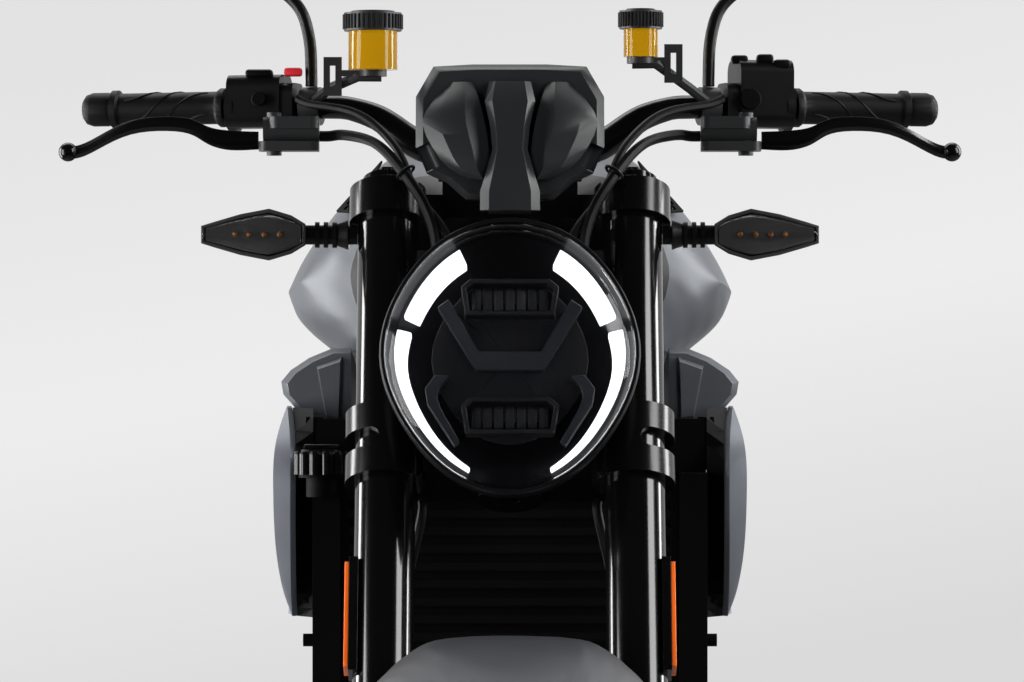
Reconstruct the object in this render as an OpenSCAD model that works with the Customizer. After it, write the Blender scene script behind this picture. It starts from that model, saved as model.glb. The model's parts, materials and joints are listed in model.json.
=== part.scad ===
// Naked roadster with a V-twin engine, parked on its side stand.
// Drawn upright with the front axle over y = 0, the nose towards -Y and the rider's left on +X,
// then leaned over and moved so that the origin is the floor under the middle of the machine.

/* [Wheels] */
// Distance between the axles
wheelbase = 1474; // [1440:1:1510]
// Outer radius of the front tyre
front_tyre_r = 300; // [296:1:303]
// Width of the front tyre
front_tyre_w = 120; // [110:1:124]
// Outer radius of the rear tyre
rear_tyre_r = 315; // [310:1:318]
// Width of the rear tyre
rear_tyre_w = 180; // [160:1:182]
// Bead seat radius of both rims
rim_r = 216; // [212:1:219]
// Radius of the front brake discs
front_disc_r = 160; // [150:1:164]
// Radius of the rear brake disc
rear_disc_r = 122; // [110:1:126]
// Radius of both axles
axle_r = 12.5; // [11:0.5:14]
// Radius of the hole through both axles
axle_bore_r = 8; // [6:0.5:9]

/* [Steering] */
// Angle of the steering axis from upright
rake = 24; // [23.5:0.1:24.5]
// Ground trail of the front wheel
trail = 93; // [90:0.5:96]
// Distance between the two fork tubes
fork_gap = 226; // [222:1:234]
// Radius of the fork's outer tubes
fork_tube_r = 27.5; // [25:0.5:29]
// Radius of the fork's sliding inner tubes
fork_leg_r = 21.5; // [20:0.5:23]
// Radius of the handlebar in its clamps
bar_r = 14.3; // [13:0.1:15]
// Radius of the handlebar inside the grips
bar_end_r = 11.1; // [10:0.1:12]
// Radius of the rubber grips
grip_r = 15.5; // [14:0.5:17]
// Length of the rubber grips
grip_len = 112; // [100:1:116]

/* [Body] */
// Half width of the fuel tank at its shoulders
tank_half_w = 219; // [200:1:225]
// Half width of the headlight
lamp_half_w = 111; // [100:1:114]
// Half height of the headlight
lamp_half_h = 128; // [116:1:130]
// Half width of the radiator core
radiator_half_w = 158; // [140:1:162]
// Wall of the moulded panels
panel_wall = 4; // [3:0.5:5]

/* [Drive] */
// Teeth of the rear sprocket
rear_teeth = 42; // [40:1:44]
// Teeth of the front sprocket
front_teeth = 15; // [14:1:16]
// Pitch of the drive chain
chain_pitch = 15.875; // [15.5:0.125:16]

/* [Parking] */
// Lean of the machine on its side stand
lean = 10; // [9:0.5:12]

/* [Hidden] */
// Gap between pieces that seat on each other
seat_gap = 0.2;
// Gap between a hub and its axle
bearing_gap = 0.05;
round_fn = 48;
// Height at which the front axle is drawn, and with it the rear one
axle_z = 300;
rear_axle_z = axle_z + rear_tyre_r - front_tyre_r;

// Curve helpers

function blend(a, b, t) = a + (b - a) * t;
function curve_point(a, b, c, d, t) =
    0.5 * (2 * b + (c - a) * t + (2 * a - 5 * b + 4 * c - d) * t * t
    + (3 * b - a - 3 * c + d) * t * t * t);
// A smooth run through points p with k steps between neighbours
function smooth_run(p, k) = [
    for (i = [0 : len(p) - 2]) for (j = [0 : k - 1])
        curve_point(p[max(i - 1, 0)], p[i], p[i + 1], p[min(i + 2, len(p) - 1)], j / k),
    p[len(p) - 1]
];
function unit(v) = v / norm(v);
function reversed(p) = [for (i = [len(p) - 1 : -1 : 0]) p[i]];
// A closed outline from its right half, listed from the bottom middle to the top middle
function whole_outline(half) = concat(half, [for (q = reversed(half)) if (q.x > 0.001) [-q.x, q.y]]);

// Six times the volume inside a list of triangles, with its sign
function signed_volume(points, triangles) =
    [for (t = triangles) 1] * [for (t = triangles) points[t[0]] * cross(points[t[1]], points[t[2]])];

function middle(ring) = [for (p = ring) 1 / len(ring)] * ring;

// A solid skinned over rings that all have the same number of points. The ends of a thin ring,
// which runs out along one face and back along the other, are closed across it, and those of any
// other ring are closed from its middle.
module skin(rings, thin = false) {
    n = len(rings[0]);
    m = len(rings);
    points = concat([for (r = rings) each r], [middle(rings[0]), middle(rings[m - 1])]);
    sides = [
        for (i = [0 : m - 2]) for (j = [0 : n - 1]) let (k = (j + 1) % n)
            each [
                [i * n + j, (i + 1) * n + j, i * n + k],
                [i * n + k, (i + 1) * n + j, (i + 1) * n + k]
            ]
    ];
    last = (m - 1) * n;
    across = [for (j = [0 : n / 2 - 2]) each [[j, j + 1, n - 1 - j], [j + 1, n - 2 - j, n - 1 - j]]];
    around = [for (j = [0 : n - 1]) [j, (j + 1) % n, n * m]];
    front = thin ? across : around;
    back = [for (t = front) [for (q = reversed(t)) q == n * m ? q + 1 : q + last]];
    faces = concat(front, sides, back);
    inside_out = signed_volume(points, faces) > 0;
    polyhedron(thin ? [for (q = [0 : n * m - 1]) points[q]] : points,
        inside_out ? [for (f = faces) reversed(f)] : faces);
}

// Sideways directions carried along a path without twisting
function carried(path, i, v) =
    let (t = unit(path[min(i + 1, len(path) - 1)] - path[max(i - 1, 0)]), w = v - t * (v * t))
    unit(w);
function carried_list(path, v, i = 0) =
    i >= len(path) ? [] : let (w = carried(path, i, v)) concat([w], carried_list(path, w, i + 1));

// A round bar swept along a path, with a radius for each point of it
module swept_bar(path, radii, sides = 12) {
    start = unit(path[1] - path[0]);
    side0 = abs(start.x) < 0.9 ? [1, 0, 0] : [0, 0, 1];
    across = carried_list(path, side0);
    skin([
        for (i = [0 : len(path) - 1])
            let (
                t = unit(path[min(i + 1, len(path) - 1)] - path[max(i - 1, 0)]),
                u = across[i],
                w = cross(t, u),
                r = is_list(radii) ? radii[i] : radii
            )
            [for (j = [0 : sides - 1]) let (a = -360 * j / sides) path[i] + r * (cos(a) * u + sin(a) * w)]
    ]);
}

// Stands children along the line from a to b, with their z axis on it
module along(a, b) {
    d = b - a;
    translate(a)
        rotate([0, acos(d.z / norm(d)), atan2(d.y, d.x)])
            children();
}

module both_sides() {
    children();
    mirror([1, 0, 0]) children();
}

// A lengthwise plate drawn in the machine's side view, as y and z, from x0 to x1
module side_plate(x0, x1) {
    translate([x0, 0, 0]) rotate([90, 0, 90]) linear_extrude(x1 - x0) children();
}

// A bar of round ends between two points of the side view
module rounded_link(a, b, ra, rb, x0, x1) {
    hull() {
        translate([x0, a.x, a.y]) rotate([0, 90, 0]) cylinder(r = ra, h = x1 - x0, $fn = 32);
        translate([x0, b.x, b.y]) rotate([0, 90, 0]) cylinder(r = rb, h = x1 - x0, $fn = 32);
    }
}

// Places on the machine

front_y = -(wheelbase + rear_tyre_r - front_tyre_r) / 2;
fork_offset = axle_z * sin(rake) - trail * cos(rake);
axle_up = axle_z * cos(rake) + trail * sin(rake);
rear_crown_r = rear_tyre_w / 2;
// Middle of the left mirror's glass
mirror_mid = [322, 432, 1262];
park_z = rear_crown_r * (1 - cos(lean));
park_x = -mirror_mid.z * sin(lean) + 15;
fork_x = fork_gap / 2;

// The whole machine leaned over on its stand, with the middle of its floor print at the origin
module parked() {
    translate([park_x, front_y, park_z]) rotate([0, lean, 0]) translate([0, 0, front_tyre_r - axle_z])
        children();
}

// The steering axis as z, measured up from where it meets the floor
module stem_frame() {
    translate([0, -trail, 0]) rotate([-rake, 0, 0]) children();
}
function from_stem(p) = [
    p.x, -trail + p.y * cos(rake) + p.z * sin(rake), -p.y * sin(rake) + p.z * cos(rake)
];

module at_front_axle() {
    translate([0, 0, axle_z]) rotate([0, 90, 0]) children();
}
module at_rear_axle() {
    translate([0, wheelbase, rear_axle_z]) rotate([0, 90, 0]) children();
}

// Wheels

// A tyre's section: crown arc, sidewall in to the rim's lip, then the bead and the hollow inside
function tyre_outline(r, w, wall, rim_half) =
    let (
        middle = max(r - w / 2, blend(rim_r, r, 0.09)),
        crown = [r - middle, w / 2],
        bead = rim_r + 0.3,
        arc = [for (a = [-75 : 15 : 75]) [middle + crown.x * cos(a), crown.y * sin(a)]],
        lip = [[rim_r + 9, rim_half + 4], [rim_r + 8.4, rim_half + 0.6], [bead, rim_half - 1.4],
            [bead, rim_half - wall]],
        inner = [for (a = [60 : -20 : -60]) [middle + (crown.x - wall) * cos(a), (crown.y - wall)
            * sin(a)]]
    )
    concat(arc, lip, inner, [for (q = reversed(lip)) [q.x, -q.y]]);

module tyre(r, w, rim_half) {
    rotate_extrude($fn = 96) polygon(tyre_outline(r, w, 9, rim_half));
}

module rim_barrel(half_w, depth) {
    rotate_extrude($fn = 96)
        polygon([
            [rim_r - 4, -half_w - 5], [rim_r + 8, -half_w - 5], [rim_r + 8, -half_w - 1],
            [rim_r, -half_w + 1],
            [rim_r, half_w - 1], [rim_r + 8, half_w + 1], [rim_r + 8, half_w + 5],
            [rim_r - 4, half_w + 5],
            [rim_r - 7, half_w - 6], [rim_r - depth, 16], [rim_r - depth, -16], [rim_r - 7, -half_w + 6]
        ]);
}

// One pair of spokes that part on their way to the rim
module spoke_pair(hub_r, spread, thick) {
    reach = rim_r - 12;
    for (side = [-1, 1])
        translate([0, 0, -thick / 2])
            linear_extrude(thick)
                polygon([
                    [hub_r - 6, -10 + side * 9], [hub_r - 6, 10 + side * 9],
                    [reach, 8 + side * spread], [reach, -8 + side * spread]
                ]);
}

module wheel(half_w, hub_half, hub_r, spread, spoke_t) {
    difference() {
        union() {
            rim_barrel(half_w, 20);
            cylinder(r = hub_r, h = 2 * hub_half, center = true, $fn = round_fn);
            for (i = [0 : 4]) rotate([0, 0, 72 * i + 18]) spoke_pair(hub_r, spread, spoke_t);
        }
        cylinder(r = axle_r + bearing_gap, h = 4 * hub_half, center = true, $fn = round_fn);
    }
}

front_hub_half = 72;
front_hub_r = 38;
front_rim_half = 46;
rear_hub_r = 45;
rear_rim_half = 71;
front_disc_x = 66;
disc_t = 5;

module front_tyre() {
    color("#161616") at_front_axle() tyre(front_tyre_r, front_tyre_w, front_rim_half);
}
module front_rim() {
    color("#1b1b1d") at_front_axle() wheel(front_rim_half, front_hub_half, front_hub_r, 34, 26);
}

// A drilled brake rotor on its carrier spider
module rotor(r, band, holes, bore) {
    linear_extrude(disc_t, center = true) {
        difference() {
            circle(r = r, $fn = 96);
            circle(r = r - band, $fn = 96);
            for (i = [0 : holes - 1]) {
                rotate(360 * i / holes) translate([r - band * (i % 2 == 0 ? 0.3 : 0.7), 0])
                    circle(r = 4, $fn = 16);
            }
        }
        difference() {
            union() {
                circle(r = bore + 14, $fn = round_fn);
                for (i = [0 : 4]) rotate(72 * i) translate([0, -9]) square([r - band + 3, 18]);
            }
            circle(r = bore, $fn = round_fn);
        }
    }
}

module front_discs() {
    color("#8c8c8e") at_front_axle()
        for (side = [-1, 1]) translate([0, 0, side * front_disc_x])
            rotor(front_disc_r, 34, 24, front_hub_r + seat_gap);
}

// Front fork

module fork_feet() {
    color("#232325") {
        at_front_axle() difference() {
            cylinder(r = axle_r, h = fork_gap + 44, center = true, $fn = round_fn);
            cylinder(r = axle_bore_r, h = fork_gap + 60, center = true, $fn = round_fn);
        }
        both_sides() difference() {
            union() {
                translate([fork_x - 20, 0, axle_z]) rotate([0, 90, 0])
                    cylinder(r = 25, h = 40, $fn = round_fn);
                stem_frame() translate([fork_x, -fork_offset, axle_up])
                    cylinder(r = fork_leg_r + 4, h = 70, $fn = round_fn);
                side_plate(fork_x - 16, fork_x - 2) polygon([[20, 306], [112, 336], [128, 372],
                    [96, 422], [40, 372]]);
            }
            at_front_axle() cylinder(r = axle_r + seat_gap, h = 2 * fork_gap, center = true,
                $fn = round_fn);
            stem_frame() translate([fork_x, -fork_offset, axle_up + 38])
                cylinder(r = fork_leg_r + seat_gap, h = 80, $fn = round_fn);
        }
    }
}

module fork_legs() {
    color("#a7a7ab") stem_frame() both_sides()
        translate([fork_x, -fork_offset, axle_up + 38.2])
            cylinder(r = fork_leg_r, h = 305, $fn = round_fn);
}

tube_low = 596;
reflector_z = 624;
reflector_h = 108;
tube_top = 1108;
lower_yoke_z = 810;
lower_yoke_h = 68;
upper_yoke_z = 1070;
upper_yoke_h = 34;

module fork_tubes() {
    color("#141416") stem_frame() both_sides() translate([fork_x, -fork_offset, 0]) difference() {
        union() {
            translate([0, 0, tube_low]) cylinder(r = fork_tube_r, h = tube_top - tube_low,
                $fn = round_fn);
            translate([0, 0, tube_low - 14]) cylinder(r = fork_tube_r + 2, h = 18, $fn = round_fn);
            translate([fork_tube_r - 5, -22, reflector_z]) cube([8, 30, reflector_h]);
            translate([0, 0, tube_top]) cylinder(r = fork_tube_r - 4, h = 8, $fn = round_fn);
            translate([0, 0, tube_top + 8]) cylinder(r = 11, h = 9, $fn = 6);
        }
        translate([0, 0, tube_low - 20]) cylinder(r = fork_leg_r + seat_gap, h = 110, $fn = round_fn);
    }
}

stem_r = 15;
stem_bore_r = 9;

module clamp_pair(z, h, wall) {
    both_sides() translate([fork_x, -fork_offset, z]) cylinder(r = fork_tube_r + wall, h = h,
        $fn = round_fn);
}
module tube_holes(z, h) {
    both_sides() translate([fork_x, -fork_offset, z - 5])
        cylinder(r = fork_tube_r + seat_gap, h = h + 10, $fn = round_fn);
}

module lower_yoke() {
    color("#1d1e20") stem_frame() difference() {
        union() {
            clamp_pair(lower_yoke_z, lower_yoke_h, 9);
            translate([-fork_x, -fork_offset - 12, lower_yoke_z + 8])
                cube([fork_gap, fork_offset + 34, lower_yoke_h - 22]);
            translate([0, 0, lower_yoke_z]) cylinder(r = 30, h = lower_yoke_h, $fn = round_fn);
            translate([0, 0, lower_yoke_z]) cylinder(r = stem_r,
                h = upper_yoke_z + upper_yoke_h - lower_yoke_z + 6, $fn = round_fn);
        }
        tube_holes(lower_yoke_z, lower_yoke_h);
        both_sides() {
            translate([fork_x + 14, -fork_offset - 60, lower_yoke_z + 25]) cube([60, 120, 18]);
            translate([fork_x + 14, -fork_offset + 60, lower_yoke_z + 34]) rotate([90, 0, 0])
                cylinder(r = 9, h = 120, $fn = 32);
        }
        translate([0, 0, lower_yoke_z - 1]) cylinder(r = stem_bore_r, h = 61, $fn = round_fn);
    }
}

bar_clamp_x = 46;
bar_middle = [0, -8, 1160];

module upper_yoke() {
    color("#1d1e20") stem_frame() difference() {
        union() {
            clamp_pair(upper_yoke_z, upper_yoke_h, 8);
            translate([-fork_x, -fork_offset - 6, upper_yoke_z + 4])
                cube([fork_gap, fork_offset + 34, upper_yoke_h - 10]);
            translate([0, 0, upper_yoke_z]) cylinder(r = 28, h = upper_yoke_h, $fn = round_fn);
            both_sides() {
                translate([bar_clamp_x - 17, bar_middle.y - 15, upper_yoke_z + 10])
                    cube([34, 30, bar_middle.z - upper_yoke_z - 10]);
                translate([bar_clamp_x - 17, bar_middle.y, bar_middle.z]) rotate([0, 90, 0])
                    cylinder(r = bar_r + 8, h = 34, $fn = round_fn);
            }
        }
        tube_holes(upper_yoke_z, upper_yoke_h);
        translate([0, 0, upper_yoke_z - 5]) cylinder(r = stem_r + seat_gap, h = upper_yoke_h + 10,
            $fn = round_fn);
        translate([-100, bar_middle.y, bar_middle.z]) rotate([0, 90, 0])
            cylinder(r = bar_r + seat_gap, h = 200, $fn = round_fn);
    }
}

// Handlebar and its fittings

bar_mid = from_stem(bar_middle);
bar_in = [160, bar_mid.y + 16, 1106];
bar_out = [398, bar_mid.y + 74, 1105];
bar_dir = unit(bar_out - bar_in);
function bar_at(x) = bar_in + bar_dir * ((x - bar_in.x) / bar_dir.x);

bar_turns = concat(
    smooth_run([
        bar_mid + [70, 0, 0], bar_mid + [92, 3, 9], bar_mid + [124, 9, 32], bar_in
    ], 3),
    [bar_out]
);
bar_path = concat([for (p = reversed(bar_turns)) [-p.x, p.y, p.z]], bar_turns);
function bar_radius(x) = x < 90 ? bar_r : x > 150 ? bar_end_r : blend(bar_r, bar_end_r, (x - 90) / 60);

module handlebar() {
    color("#18181a") swept_bar(bar_path, [for (p = bar_path) bar_radius(abs(p.x))], 20);
}

grip_in = 268;
bar_hole = bar_end_r + seat_gap;

module on_bar(x) {
    along(bar_at(x), bar_out + bar_dir) children();
}

module grips() {
    color("#151515") both_sides() on_bar(grip_in) {
        difference() {
            rotate_extrude($fn = round_fn) polygon([
                [0, 0], [grip_r + 3, 0], [grip_r + 3, 5], [grip_r, 9], [grip_r - 0.5, grip_len - 8],
                [grip_r + 2.5, grip_len - 6], [grip_r + 2.5, grip_len], [0, grip_len]
            ]);
            translate([0, 0, -1]) cylinder(r = bar_hole, h = grip_len + 2, $fn = round_fn);
        }
        translate([0, 0, grip_len + 0.5]) difference() {
            rotate_extrude($fn = round_fn) polygon([
                [0, 0], [14.5, 0], [16, 4], [16, 19], [14, 25], [10, 28], [0, 28]
            ]);
            translate([0, 0, -1]) cylinder(r = bar_hole, h = 25, $fn = round_fn);
        }
    }
}

// A box whose edges along z are round
module soft_box(size, r) {
    linear_extrude(size.z) {
        translate([r, 0]) square([size.x - 2 * r, size.y]);
        translate([0, r]) square([size.x, size.y - 2 * r]);
        for (x = [r, size.x - r], y = [r, size.y - r]) translate([x, y]) circle(r = r, $fn = 32);
    }
}

housing_in = 200;

module switch_housing(tall) {
    on_bar(housing_in) difference() {
        union() {
            translate([-tall - 16, -22, 12]) soft_box([tall + 36, 46, 52], 12);
            translate([-22, -20, 0]) soft_box([42, 40, 60], 10);
            translate([0, 0, 58]) cylinder(r = 23, h = 8, $fn = round_fn);
        }
        translate([0, 0, -10]) cylinder(r = bar_hole, h = 120, $fn = round_fn);
    }
}

module switch_housings() {
    color("#1a1a1b") {
        switch_housing(28);
        mirror([1, 0, 0]) switch_housing(14);
    }
}

perch_x = 178;
perch_box = [56, 34, 32];
perch_low = bar_at(perch_x) + [0, -60, -44];
lever_root = perch_low + [perch_box.x + 0.4, perch_box.y / 2, 10];
lever_tip = [414, lever_root.y + 20, 1062];

// A clamp on the bar with its pump body, and the jar's bracket and cap
module master_cylinder(jar) {
    difference() {
        union() {
            on_bar(perch_x) cylinder(r = bar_end_r + 7, h = 18, $fn = round_fn);
            translate(perch_low) soft_box([perch_box.x, perch_box.y, 9], 8);
            translate(perch_low + [0, 0, 21]) soft_box([perch_box.x - 10, perch_box.y, 11], 8);
            translate(perch_low + [0, perch_box.y / 2, 20]) rotate([0, 90, 0])
                cylinder(r = 12, h = perch_box.x - 4, $fn = 32);
            translate(perch_low + [perch_box.x - 14, perch_box.y / 2, -4]) cylinder(r = 7, h = 40, $fn = 24);
            translate(perch_low + [2, perch_box.y - 2, 12]) cube([14, 24, 20]);
            swept_bar([
                bar_at(perch_x) + [6, -14, 4], bar_at(perch_x) + [-10, -24, 16],
                [jar.x + 14, jar.y, jar.z - 6], [jar.x - 8, jar.y, jar.z - 6]
            ], 5, 8);
            translate([jar.x, jar.y, jar.z - 6]) cylinder(r = 13, h = 5.8, $fn = 32);
            translate([jar.x, jar.y - 2, jar.z - 6]) cube([jar[3] + 8, 4, 5.8]);
            translate([jar.x + jar[3] + 6, jar.y - 2, jar.z - 24]) difference() {
                cube([17, 4, 36]);
                translate([6, -1, 8]) cube([5, 6, 20]);
            }
        }
        on_bar(perch_x - 30) cylinder(r = bar_hole, h = 100, $fn = round_fn);
    }
    translate([jar.x, jar.y, jar.z + jar[4] + seat_gap]) cylinder(r = jar[3] + 4, h = 17, $fn = round_fn);
}

module master_cylinders() {
    color("#232427") {
        master_cylinder(left_jar);
        mirror([1, 0, 0]) master_cylinder(right_jar);
    }
}

module lever() {
    run = smooth_run([
        lever_root, lever_root + [26, -2, 0], lever_root + [46, -2, 4], lever_root + [70, 2, 15],
        lever_root + [120, 8, 13], lever_tip - [16, 0, -2], lever_tip
    ], 3);
    heights = smooth_run([[9], [10], [9], [7.5], [7], [6.5], [6.5]], 3);
    skin([
        for (i = [0 : len(run) - 1])
            [for (a = [0 : -45 : -315]) run[i] + [0, 6 * cos(a + 22.5), heights[i][0] * sin(a + 22.5)]]
    ]);
    translate(lever_tip) sphere(r = 9, $fn = 24);
}

module levers() {
    color("#161617") both_sides() lever();
}

// Place of each jar on the left side of the machine, then its radius and height
left_jar = [122, 352, 1150, 16, 26];
right_jar = [128, 352, 1138, 23, 36];

module fluid_jars() {
    color("#c88a12") for (j = [left_jar, [-right_jar.x, right_jar.y, right_jar.z, right_jar[3],
        right_jar[4]]])
        translate([j[0], j[1], j[2]]) cylinder(r = j[3], h = j[4], $fn = round_fn);
}

// One mirror arm and head on the rider's left
mirror_foot = bar_at(187) + [0, 0, bar_end_r + 7.4];

module mirror_half() {
    swept_bar(smooth_run([
        mirror_foot, mirror_foot + [0, 0, 10], mirror_foot + [2, -2, 46], mirror_foot + [14, 2, 78],
        mirror_foot + [50, 12, 104],
        mirror_mid + [-32, -12, -4]
    ], 4), 6, 10);
    translate(mirror_mid) rotate([0, 0, 8]) rotate([90, 0, 0]) hull() {
        translate([0, 0, 2]) linear_extrude(4) mirror_face(0);
        translate([0, 0, 6]) linear_extrude(14) mirror_face(12);
    }
}
module mirror_face(inset) {
    hull() for (p = [[-70, 22], [70, 30], [78, -8], [52, -34], [-66, -26]])
        translate(p * (1 - inset / 60)) circle(r = 12, $fn = 24);
}

module mirrors() {
    color("#161617") both_sides() mirror_half();
}
module mirror_glass() {
    color("#9aa0a6") both_sides()
        translate(mirror_mid) rotate([0, 0, 8]) rotate([90, 0, 0]) translate([0, 0, -1.2])
            linear_extrude(3) mirror_face(6);
}

// Headlight

lamp_mid = [0, 150, 872];
lamp_tilt = 12;

// A point of the lamp's outline at angle a, drawn in by s and set back by y
function lamp_point(a, s, y) =
    let (
        x = s * lamp_half_w * (cos(a) * (1 + 0.04 * sin(a)) + 0.065 * pow(cos(a), 9)),
        z = s * lamp_half_h * sin(a)
    )
    lamp_mid + [x, y * cos(lamp_tilt) + z * sin(lamp_tilt), z * cos(lamp_tilt) - y * sin(lamp_tilt)];
function lamp_ring(s, y) = [for (a = [0 : 10 : 350]) lamp_point(a, s, y)];
// Depth of the lamp's floor at s
function lamp_floor(s) = s < 0.6 ? 34 : 34 - (s - 0.6) * 40;
function lens_bulge(s) = -42 * pow(1 - s * s, 0.8);

module headlight_shell() {
    color("#141415") {
        skin([
            lamp_ring(0.05, 34), lamp_ring(0.6, 34), lamp_ring(0.9, 22), lamp_ring(0.955, 4),
                lamp_ring(0.96, -3),
            lamp_ring(0.985, -4), lamp_ring(1, 2), lamp_ring(0.99, 20), lamp_ring(0.88, 34),
                lamp_ring(0.68, 42),
            lamp_ring(0.36, 76), lamp_ring(0.05, 82)
        ]);
        both_sides() side_plate(fork_x - fork_tube_r - 8.3, fork_x - fork_tube_r - 0.3)
            polygon([[188, 856], [188, 900], [256, 922], [284, 908], [276, 884]]);
    }
}

module headlight_lens() {
    color("#30333a", 0.45) skin([
        lamp_ring(0.05, lens_bulge(0.05) + 3.5), lamp_ring(0.3, lens_bulge(0.3) + 3.5),
            lamp_ring(0.55, lens_bulge(0.55) + 3.6),
        lamp_ring(0.75, lens_bulge(0.75) + 3.8), lamp_ring(0.88, lens_bulge(0.88) + 4),
            lamp_ring(0.935, 0), lamp_ring(0.953, -1),
        lamp_ring(0.953, -5), lamp_ring(0.88, lens_bulge(0.88)), lamp_ring(0.75, lens_bulge(0.75)),
        lamp_ring(0.55, lens_bulge(0.55)), lamp_ring(0.3, lens_bulge(0.3)),
            lamp_ring(0.05, lens_bulge(0.05))
    ]);
}

// A curved strip on the lamp's floor; rows give its angle, and its inner and outer edge
module lamp_strip(rows, front) {
    skin([
        for (r = rows) [
            lamp_point(r[0], r[1], lamp_floor(r[1]) - 0.4),
                lamp_point(r[0], r[2], lamp_floor(r[2]) - 0.4),
            lamp_point(r[0], r[2], front), lamp_point(r[0], r[1], front)
        ]
    ]);
}

module light_guides() {
    color("#f4f6fa") both_sides() {
        lamp_strip([for (i = [0 : 6]) [63 - i * 7.2, 0.735, 0.865]], 4);
        lamp_strip([for (i = [0 : 10]) [13 - i * 8, blend(0.765, 0.855, i / 10), 0.88]], 4);
    }
}

// Children drawn in the lamp's own plane, as x, depth and height from its middle
module in_lamp() {
    translate(lamp_mid) rotate([-lamp_tilt, 0, 0]) children();
}
// A flat shape of x and height, from depth y0 to y1
module lamp_plate(y0, y1) {
    translate([0, y1, 0]) rotate([90, 0, 0]) linear_extrude(y1 - y0) children();
}

// The lamp's inner plate, dished, with two reflector frames
module headlight_optics() {
    color("#131416") {
        skin([lamp_ring(0.05, 33.6), lamp_ring(0.58, 33.6), lamp_ring(0.6, 25), lamp_ring(0.05, 20)]);
        in_lamp() for (z = [reflector_up, reflector_down]) lamp_plate(4, 24) difference() {
            polygon([[-44, z + 10], [-36, z + 17], [36, z + 17], [44, z + 10], [40, z - 16], [-40, z - 16]]);
            polygon([[-39, z + 8], [-33, z + 13], [33, z + 13], [39, z + 8], [36, z - 12], [-36, z - 12]]);
        }
    }
}
// Middle of each reflector above or below the lamp's middle
reflector_up = 54;
reflector_down = -54;

// A wide chevron between the reflectors and a hooked fang at each side of the lower one
module headlight_trim() {
    color("#4a4d52") in_lamp() {
        lamp_plate(6, 19.6) polygon([
            [-65, 46], [-55, 53], [-28, 5], [28, 5], [55, 53], [65, 46], [30, -12], [-30, -12]
        ]);
        both_sides() lamp_plate(7, 23.8) polygon([
            [54, -17], [67, -16], [76, -28], [74, -42], [50, -80], [45, -76], [62, -46], [65, -36], [63, -27]
        ]);
    }
}

// Instrument cowl above the lamp

// Half of the cowl's outline from the front, from the bottom middle to the top middle
cowl_half = [[0, 1012], [40, 1014], [58, 1030], [76, 1038], [86, 1062], [86, 1108], [70, 1136],
    [34, 1138], [0, 1138]];
cowl_mid_z = 1072;
function cowl_ring(y, s) = [for (q = whole_outline(cowl_half))
    [q.x * s, y + (q.y - cowl_mid_z) * 0.22, cowl_mid_z + (q.y - cowl_mid_z) * s]];

// The spine down the cowl's front; rows give its height, half width and how far forward it stands
spine_rows = [
    [1121, 19, 224], [1102, 23, 206], [1080, 18, 196], [1058, 16, 189], [1040, 21, 186], [1020, 27, 183],
    [1003, 27, 180]
];
function spine_ring(r) = [
    [-r[1], r[2] + 9, r[0]], [-0.7 * r[1], r[2], r[0]], [0.7 * r[1], r[2], r[0]], [r[1], r[2] + 9, r[0]],
    [r[1], r[2] + 44, r[0]], [-r[1], r[2] + 44, r[0]]
];
// A lobe at each side of the spine; rows give its height, inner edge, outer edge and how far forward
lobe_rows = [
    [1121, 34, 58, 234], [1104, 28, 70, 216], [1084, 23, 80, 205], [1060, 19, 70, 197], [1042, 19, 56, 194],
    [1031, 19, 36, 199]
];
function lobe_ring(r) = [
    [r[1], r[3] + 10, r[0]], [blend(r[1], r[2], 0.3), r[3], r[0]], [blend(r[1], r[2], 0.72), r[3] + 5, r[0]],
    [r[2], r[3] + 22, r[0]], [r[2] - 2, 256, r[0]], [r[1], 256, r[0]]
];

module instrument_cowl() {
    color("#17181a") {
        difference() {
            skin([cowl_ring(234, 0.92), cowl_ring(242, 1), cowl_ring(276, 1), cowl_ring(282, 0.95)]);
            both_sides() translate([64, 204, 1044]) rotate([0, 24, 0]) soft_box([16, 58, 24], 6);
        }
        skin([for (r = spine_rows) spine_ring(r)]);
        both_sides() skin([for (r = smooth_run(lobe_rows, 2)) lobe_ring(r)]);
        stem_frame() translate([-20, -fork_offset - 46.3, upper_yoke_z + 8]) cube([40, 40, 14]);
    }
}

module instrument_display() {
    color("#0b0c0e") translate([0, 282, cowl_mid_z]) rotate([-12.4, 0, 0]) translate([-66, 0.4, -40])
        cube([132, 8, 76]);
}

// Front indicators

indicator_y = 294;
indicator_z = 983;

indicator_rows = [[190, 9, 12], [202, 16, 18], [222, 22, 22], [248, 17, 18], [272, 10, 12], [283, 7, 8]];

module indicator_leaf(front, back) {
    skin([
        for (r = indicator_rows)
            [for (a = [0 : -30 : -330]) [r[0], indicator_y + (sin(a) < 0 ? front : back)
                * r[2] * sin(a), indicator_z + r[1] * cos(a)]]
    ]);
}

module front_indicators() {
    color("#161617") both_sides() {
        difference() {
            indicator_leaf(0.25, 1);
            translate([150, indicator_y - 60.3, indicator_z - 50]) cube([200, 60, 100]);
        }
        translate([fork_x + fork_tube_r + 0.4, indicator_y + 9.6, indicator_z]) rotate([0, 90, 0])
            cylinder(r = 9, h = 192 - fork_x - fork_tube_r, $fn = 32);
        translate([149.5, indicator_y + 9.6, indicator_z]) rotate([0, 90, 0])
            cylinder(r1 = 14, r2 = 9, h = 14, $fn = 32);
        for (x = [160, 168, 176]) translate([x, indicator_y + 9.6, indicator_z]) rotate([0, 90, 0])
            cylinder(r = 12, h = 4, $fn = 32);
    }
}

module front_indicator_lenses() {
    color("#d9c9a8", 0.7) both_sides() intersection() {
        indicator_leaf(1, 1);
        translate([150, indicator_y - 60.6, indicator_z - 50]) cube([200, 60, 100]);
    }
}

// Front mudguard

mudguard_r = front_tyre_r + 28;
// Fall of the guard's side edge below its crest, behind the fork
guard_side_drop = 28;
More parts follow.
